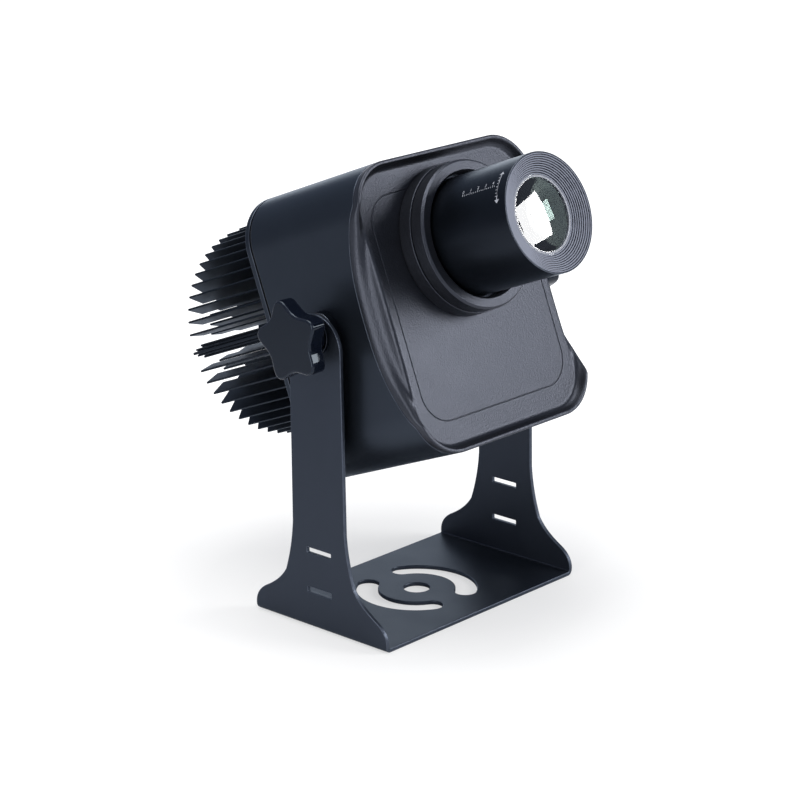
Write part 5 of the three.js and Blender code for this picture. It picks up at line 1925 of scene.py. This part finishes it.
@dataclass
class FocusMarks:
    """White marks on the barrel: a numbered scale along it and a double arrow round it.

    Lengths round the barrel are measured on its surface, from the top towards the right.
    """

    radius: float = LensBarrel.radius
    lift: float = 0.06
    sunk: float = 0.05
    scale_place: float = math.radians(-51.5)
    scale_start: float = 88.6
    scale_pitch: float = 1.5
    scale_ticks: int = 18
    long_every: int = 4
    tick: Flat = (0.32, 0.85)
    long_tick: float = 1.45
    digit_height: float = 1.9
    digit_share: float = 0.7
    digit_gap: float = 0.55
    arrow_place: float = 117.4
    arrow_reach: Flat = (math.radians(-69), math.radians(-35.5))
    arrow_line: float = 0.5
    arrow_head: Flat = (1.7, 2.2)
    arrow_ticks: int = 7
    arrow_pieces: int = 24

    def _wrapped(self, form: Form) -> Form:
        """Lays a form on the barrel.

        Args:
            form: points of length round, length along and height over the surface.

        Returns:
            The form, in the lens's frame.
        """
        wrapped = []
        for across, along, rise in form.points:
            angle, reach = across / self.radius, self.radius + rise
            wrapped.append((reach * math.sin(angle), reach * math.cos(angle), along))
        form.points = wrapped
        return form

    def _patch(self, form: Form, corners: Sequence[Flat]) -> None:
        """Adds a thin flat patch."""
        form.drawn(lambda inset: list(corners), [(0.0, -self.sunk, 0.0), (0.0, self.lift, 0.0)])

    def _bar(self, form: Form, across: Flat, along: Flat, pieces: int = 1) -> None:
        """Adds a bar between its ends round and along the barrel, in pieces round it."""
        places = [across[0] + (across[1] - across[0]) * i / pieces for i in range(pieces + 1)]
        self._patch(form, [(p, along[0]) for p in places] + [(p, along[1]) for p in reversed(places)])

    def _digit(self, form: Form, text: str, across: float, along: float) -> None:
        """Adds a number that reads along the barrel.

        Args:
            form: what it is added to.
            text: the number.
            across: place of its foot round the barrel.
            along: place of its middle along the barrel.
        """
        curve = bpy.data.curves.new("number", "FONT")
        curve.body, curve.align_x = text, "CENTER"
        curve.size, curve.extrude = self.digit_height / self.digit_share, self.lift / 2
        number = bpy.data.objects.new("number", curve)
        bpy.context.scene.collection.objects.link(number)
        mesh = bpy.data.meshes.new_from_object(number.evaluated_get(bpy.context.evaluated_depsgraph_get()))
        places = (vertex.co for vertex in mesh.vertices)
        points = [(across + y, along + x, z + self.lift / 2) for x, y, z in places]
        form.add(points, [face.vertices for face in mesh.polygons])
        bpy.data.objects.remove(number)
        bpy.data.curves.remove(curve)
        bpy.data.meshes.remove(mesh)

    def build_scale(self, form: Form) -> None:
        """Adds the numbered scale.

        Args:
            form: what it is added to.
        """
        foot, half = self.scale_place * self.radius, self.tick[0] / 2
        for index in range(self.scale_ticks):
            along = self.scale_start + index * self.scale_pitch
            rise = self.tick[1]
            if index % self.long_every == 0:
                rise = self.long_tick
                self._digit(form, str(index // self.long_every), foot + rise + self.digit_gap, along)
            self._bar(form, (foot, foot + rise), (along - half, along + half))

    def build(self) -> None:
        """Builds the scale and the double arrow with its ticks."""
        form = Form()
        self.build_scale(form)
        start, end = (reach * self.radius for reach in self.arrow_reach)
        half, (head_half, head_long), place = self.arrow_line / 2, self.arrow_head, self.arrow_place
        line = (start + head_long, end - head_long)
        self._bar(form, line, (place - half, place + half), self.arrow_pieces)
        for tip, base in zip((start, end), line):
            self._patch(form, [(tip, place), (base, place - head_half), (base, place + head_half)])
        self._wrapped(form).piece("focus_marks", Seat.LENS.matrix, MARK_WHITE, "lens_barrel")
        tick, half_tick = Form(), self.tick[0] / 2
        self._bar(tick, (-half_tick, half_tick), (place - self.long_tick, place - half))
        count, first = self.arrow_ticks, line[0] / self.radius
        pitch = (line[1] / self.radius - first) / (count + 1)
        Repeat.ROUND.piece(
            "arrow_ticks", self._wrapped(tick), Seat.LENS.matrix, MARK_WHITE, "lens_barrel",
            Count=count, Group=count, Start=-(first + pitch), Pitch=-pitch,
        )


# Knobs and pivots


def washer(bore: float, radius: float, low: float, high: float, edge: float, sides: int) -> Form:
    """A flat washer between low and high, with its rim rounded by edge."""
    rim = [Corner(radius, low, edge), Corner(radius, high, edge)]
    return Form().lathed([Corner(bore, low, 0.2), *rim, Corner(bore, high, 0.2)], sides)


@dataclass
class StarKnob:
    """A star knob with its stud and washer, on one side."""

    side: str
    phase: float
    diameter: float = 49.0
    valley: float = 36.0
    hub: float = 11.0
    hub_sunk: float = 4.0
    bevel: float = 1.3
    rear_edge: float = 0.25
    face_wear: float = 0.8
    face_inset: float = 9.0
    lobes: int = 5
    sharpness: float = 0.12
    hub_rear: float = 87.1
    head_rear: float = 96.0
    face: float = 107.0
    steps: int = 240
    stud: float = 3.9
    stud_span: Flat = (66.1, 99.8)
    washer: Flat = (4.2, 12.0)
    washer_span: Flat = (85.3, 86.8)

    def _outline(self, inset: float) -> list[Flat]:
        """The star's loop.

        Args:
            inset: how far it is drawn in along its own normals.

        Returns:
            The loop.
        """
        mean = (self.diameter + self.valley) / 4
        swing = (self.diameter - self.valley) / 4
        n, sharp = self.lobes, self.sharpness
        loop = []
        for i in range(self.steps):
            angle = 2 * math.pi * i / self.steps
            wave = math.cos(n * angle) + sharp * (math.cos(2 * n * angle) - 1)
            slope = -n * math.sin(n * angle) - 2 * n * sharp * math.sin(2 * n * angle)
            radius = mean + swing * wave
            normal = Vector((radius, -swing * slope)).normalized() * inset
            turn = angle + self.phase
            out, across = radius - normal.x, -normal.y
            sine, cosine = math.sin(turn), math.cos(turn)
            loop.append((out * cosine - across * sine, out * sine + across * cosine))
        return loop

    def build(self) -> None:
        """Builds the knob, its stud and its washer."""
        body, matrix = "knob_" + self.side, Seat[self.side.upper()].matrix
        rear, face = self.head_rear, self.face
        # The face's rounded edge is painted lighter: a highlight, with a little rubbing.
        spots = rounded([
            Corner(self.face_inset, rear), Corner(self.rear_edge, rear, self.bevel),
            Corner(0, face, self.bevel, self.face_wear), Corner(self.face_inset, face),
        ], closed=False, steps=5)
        form = Form().drawn(self._outline, spots[1:-1])
        hub, low, high = self.hub, self.hub_rear, rear + self.hub_sunk
        form.lathed([Corner(0, low), Corner(hub, low, 0.6), Corner(hub, high), Corner(0, high)], 72)
        form.piece("star_knob_" + self.side, matrix, GLOSS_PLASTIC, body, "knob_grip_" + self.side)
        radius, (low, high) = self.stud, self.stud_span
        end = Corner(radius, low, 0.5)
        stud = Form().lathed([Corner(0, low), end, Corner(radius, high), Corner(0, high)], 40)
        stud.piece("stud_" + self.side, matrix, STEEL, body, "knob_stud_" + self.side)
        ring = washer(*self.washer, *self.washer_span, 0.25, 72)
        ring.piece("washer_" + self.side, matrix, ANODISED, "clamp_" + self.side, "knob_washer_" + self.side)


@dataclass
class Pivot:
    """The boss in the sleeve's wall and the friction washer against the upright."""

    side: str
    bore: float = 4.2
    stem: float = 7.5
    stem_rear: float = 66.2
    flange: float = 12.0
    flange_span: Flat = (75.5, 80.9)
    pad_span: Flat = (81.2, 82.2)
    sides: int = 96

    def build(self) -> None:
        """Builds boss and washer."""
        matrix, (low, high) = Seat[self.side.upper()].matrix, self.flange_span
        boss = Form().lathed([
            Corner(self.bore, self.stem_rear), Corner(self.stem, self.stem_rear, 0.4), Corner(self.stem, low),
            Corner(self.flange, low, 0.3), Corner(self.flange, high, 0.5), Corner(self.bore, high),
        ], self.sides)
        boss.piece("boss_" + self.side, matrix, ANODISED, "head", "pivot_boss_" + self.side)
        pad = washer(self.bore, self.flange, *self.pad_span, 0.3, self.sides)
        pad.piece("friction_pad_" + self.side, matrix, RUBBER, "head", "friction_washer_" + self.side)


@dataclass
class Gland:
    """The cable gland in the rear cover."""

    drop: float = -70.0
    hexagon: float = 19.0
    hexagon_corner: float = 0.6
    hexagon_span: Flat = (-53.8, -48.3)
    tube: Flat = (5.5, 6.0)
    tube_span: Flat = (-65.5, -36.0)
    cap_span: Flat = (-69.1, -54.1)
    cap: float = 9.0
    cap_bore: float = 6.3
    cap_dome: float = 3.0
    cap_round: float = 1.4
    mouth: float = 4.0
    flutes: int = 24
    flute_width: float = 0.9
    flute_reach: Flat = (-0.4, 0.3)
    flute_ends: Flat = (4.0, 1.0)
    grip: Flat = (4.0, 5.2)
    grip_span: Flat = (-65.5, -48.3)

    def build(self) -> None:
        """Builds body, cap with its flutes, and seal."""
        matrix = Seat.HEAD.matrix @ Matrix.Translation((0, self.drop, 0))
        form = Form().bar(hexagon(self.hexagon, self.hexagon_corner), *self.hexagon_span, 0.5)
        (inner, outer), (low, high) = self.tube, self.tube_span
        form.lathed([Corner(inner, low), Corner(outer, low), Corner(outer, high), Corner(inner, high)], 48)
        form.piece("gland_base", matrix, MATT_PLASTIC, "head", "gland_body")
        low, high = self.cap_span
        cap, shoulder = self.cap, low + self.cap_dome
        dome = Form().lathed([
            Corner(self.cap_bore, high), Corner(cap, high, 0.5), Corner(cap, shoulder, self.cap_round),
            Corner(cap - self.cap_dome, low, self.cap_round), Corner(self.mouth, low, 0.4),
            Corner(self.mouth, shoulder), Corner(self.cap_bore, shoulder),
        ])
        dome.piece("gland_dome", matrix, MATT_PLASTIC, "head", "gland_cap")
        outline = rectangle(self.flute_width, cap + self.flute_reach[0], cap + self.flute_reach[1], 0.25)
        flute = Form().bar(outline, low + self.flute_ends[0], high - self.flute_ends[1], 0.25)
        Repeat.ROUND.piece(
            "gland_ribs", flute, matrix, MATT_PLASTIC, "head", Count=self.flutes, Group=self.flutes,
            Start=0.0, Pitch=2 * math.pi / self.flutes,
        )
        (inner, outer), (low, high) = self.grip, self.grip_span
        grip = Form().lathed([
            Corner(inner, low, 0.3), Corner(outer, low, 0.2), Corner(outer, high), Corner(inner, high),
        ], 48)
        grip.piece("gland_grip", matrix, RUBBER, "head", "gland_seal")


INNER_FINISHES: dict[str, Finish] = {
    "heatsink_screw": STEEL, "led_board": BOARD, "led_emitter": PHOSPHOR, "led_holder_screw": STEEL,
    "led_holder": MATT_PLASTIC, "condenser_tube": ALUMINIUM, "condenser_lens": FRONT_GLASS,
    "condenser_spacer": ALUMINIUM, "condenser_ring": ANODISED, "gobo_gate": ANODISED,
    "gobo_holder": ALUMINIUM, "gobo_glass": FRONT_GLASS, "gobo_ring": STEEL, "lens_guide": ANODISED,
    "focus_cell": ANODISED, "rear_lens_ring": ANODISED, "rear_lens": TINTED_GLASS, "driver_bracket": STEEL,
    "led_driver": ALUMINIUM, "led_lead_1": RED_SILICONE, "led_lead_2": BLACK_SILICONE,
    "gland_lock_nut": MATT_PLASTIC, "pivot_nut": STEEL,
}


def dress_inner_solids() -> None:
    """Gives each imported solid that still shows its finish."""
    for name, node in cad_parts.items():
        if node.hide_render:
            continue
        stem = max((key for key in INNER_FINISHES if name.startswith(key)), key=len)
        node.data.materials.clear()
        node.data.materials.append(INNER_FINISHES[stem].material())
        log.info("%s: packed solid in %s", name, INNER_FINISHES[stem].name)


# Studio


@dataclass(frozen=True)
class Lamp:
    """A soft lamp aimed at the head, in metres and watts."""

    name: str
    place: Point
    width: float
    height: float
    power: float
    aim_height: float = 0.17

    def hang(self) -> None:
        """Makes the lamp."""
        data = bpy.data.lights.new(self.name, "AREA")
        data.shape = "RECTANGLE"
        data.size, data.size_y, data.energy = self.width, self.height, self.power
        lamp = bpy.data.objects.new(self.name, data)
        lamp.location = self.place
        aim = Vector((0, 0, self.aim_height)) - Vector(self.place)
        lamp.rotation_euler = aim.to_track_quat("-Z", "Y").to_euler()
        bpy.context.scene.collection.objects.link(lamp)


@dataclass
class Studio:
    """Floor, soft lamps, white surroundings and the camera."""

    azimuth: float = -46.91
    elevation: float = 17.5
    roll: float = -0.667
    distance: float = 1587.0
    aim_across: float = -9.0
    aim_height: float = 123.95
    focal_pixels: float = 2626.0
    frame_pixels: float = 800.0
    sensor: float = 36.0
    clips: Flat = (0.05, 50.0)
    floor_reach: float = 9.0
    floor_drop: float = 0.0002
    floor_glow: float = 0.56
    glow_span: Flat = (0.12, 0.46)
    floor_shade: float = 0.36
    floor_tint: Colour = (1.0, 0.985, 0.955)
    floor_bounce: Colour = (0.8, 0.8, 0.81)
    sky_light: float = 0.32
    sky_colour: Colour = (0.84, 0.95, 1.2)
    lamps: tuple[Lamp, ...] = (
        Lamp("key", (0.72, -1.03, 0.58), 0.6, 0.55, 12.0),
        Lamp("top", (-0.1, 0.1, 1.25), 0.9, 0.7, 13.0),
        Lamp("wall", (1.0, 0.93, 0.42), 1.0, 0.5, 2.2),
        Lamp("side", (-1.1, -0.28, 0.3), 0.5, 0.8, 7.0),
    )

    def _axes(self) -> tuple[Vector, Vector, Vector]:
        """The camera's directions.

        Returns:
            Its right, up and back.
        """
        a, e, r = (math.radians(v) for v in (self.azimuth, self.elevation, self.roll))
        back = Vector((math.sin(a) * math.cos(e), -math.cos(a) * math.cos(e), math.sin(e)))
        level = Vector((math.cos(a), math.sin(a), 0))
        rise = back.cross(level)
        return level * math.cos(r) + rise * math.sin(r), rise * math.cos(r) - level * math.sin(r), back

    def place_camera(self) -> None:
        """Makes the camera."""
        right, up, back = self._axes()
        a = math.radians(self.azimuth)
        aim = Vector((math.cos(a), math.sin(a), 0)) * self.aim_across + Vector((0, PIVOT[1], self.aim_height))
        lens = bpy.data.cameras.new("camera")
        lens.sensor_width = self.sensor
        lens.lens = self.focal_pixels / self.frame_pixels * self.sensor
        lens.clip_start, lens.clip_end = self.clips
        camera = bpy.data.objects.new("camera", lens)
        turn = Matrix((right, up, back)).transposed().to_4x4()
        camera.matrix_world = Matrix.Translation((aim + back * self.distance) * MILLIMETRE) @ turn
        bpy.context.scene.collection.objects.link(camera)
        bpy.context.scene.camera = camera

    @staticmethod
    def _seen(wiring: Wiring) -> bpy.types.NodeSocket:
        """1 where the camera looks at the surroundings, straight or through glass."""
        path = wiring.node("ShaderNodeLightPath").outputs
        return wiring.math("MAXIMUM", path["Is Camera Ray"], path["Is Transmission Ray"])

    def _floor_material(self) -> bpy.types.Material:
        """The floor's paint, which glows more the further it is from the part, so that a pale shade is
        painted round the part.

        Returns:
            The material.
        """
        made = bpy.data.materials.new("floor")
        made.use_nodes = True
        wiring = Wiring(made.node_tree)
        shade = [self.floor_shade * part for part in self.floor_tint]
        paint = wiring.blend(self._seen(wiring), (*self.floor_bounce, 1), (*shade, 1))
        shader = wiring.node("ShaderNodeBsdfDiffuse", {"Color": paint})
        place = wiring.node("ShaderNodeTexCoord").outputs["Object"]
        away = wiring.node("ShaderNodeVectorMath", {0: place}, operation="LENGTH").outputs["Value"]
        # Weaker glow near the part paints a pale shade round it, under its real shadow.
        level = wiring.ramp(away, *self.glow_span, self.floor_glow, 1.0)
        strength = wiring.math("MULTIPLY", self._seen(wiring), level)
        glow = wiring.node("ShaderNodeEmission", {"Color": (1, 1, 1, 1), "Strength": strength})
        both = wiring.node("ShaderNodeAddShader", {0: shader.outputs[0], 1: glow.outputs[0]})
        wiring.node("ShaderNodeOutputMaterial", {"Surface": both.outputs[0]})
        return made

    def lay_floor(self) -> None:
        """Makes the pale floor, which keeps the object's shadow."""
        mesh, reach = bpy.data.meshes.new("floor"), self.floor_reach
        corners = [(-reach, -reach, 0), (reach, -reach, 0), (reach, reach, 0), (-reach, reach, 0)]
        mesh.from_pydata(corners, [], [(0, 1, 2, 3)])
        mesh.transform(Matrix.Translation((0, 0, -self.floor_drop)))
        mesh.materials.append(self._floor_material())
        floor = bpy.data.objects.new("floor", mesh)
        bpy.context.scene.collection.objects.link(floor)

    def light(self) -> None:
        """Makes the surroundings and hangs the lamps."""
        world = bpy.data.worlds.new("surroundings")
        bpy.context.scene.world = world
        world.use_nodes = True
        wiring = Wiring(world.node_tree)
        level = wiring.ramp(self._seen(wiring), 0.0, 1.0, self.sky_light, 1.0)
        colour = wiring.blend(self._seen(wiring), (*self.sky_colour, 1), (1, 1, 1, 1))
        sky = wiring.node("ShaderNodeBackground", {"Color": colour, "Strength": level})
        wiring.node("ShaderNodeOutputWorld", {"Surface": sky.outputs[0]})
        for lamp in self.lamps:
            lamp.hang()


def main() -> None:
    """Builds every sub-assembly in order, then the studio."""
    logging.basicConfig(level=logging.INFO, format="%(name)s: %(message)s")
    bpy.context.scene.view_settings.view_transform = "Standard"
    parts = [
        Yoke(), HeadShell(), Heatsink(), Collar(), LensBarrel(), FocusMarks(), Gland(), Pivot("left"),
        Pivot("right"), StarKnob("left", math.radians(17)), StarKnob("right", math.radians(-19.5)),
    ]
    for part in parts:
        part.build()
        log.info("%s is built", type(part).__name__)
    dress_inner_solids()
    studio = Studio()
    studio.place_camera()
    studio.lay_floor()
    studio.light()


if __name__ == "__main__":
    main()
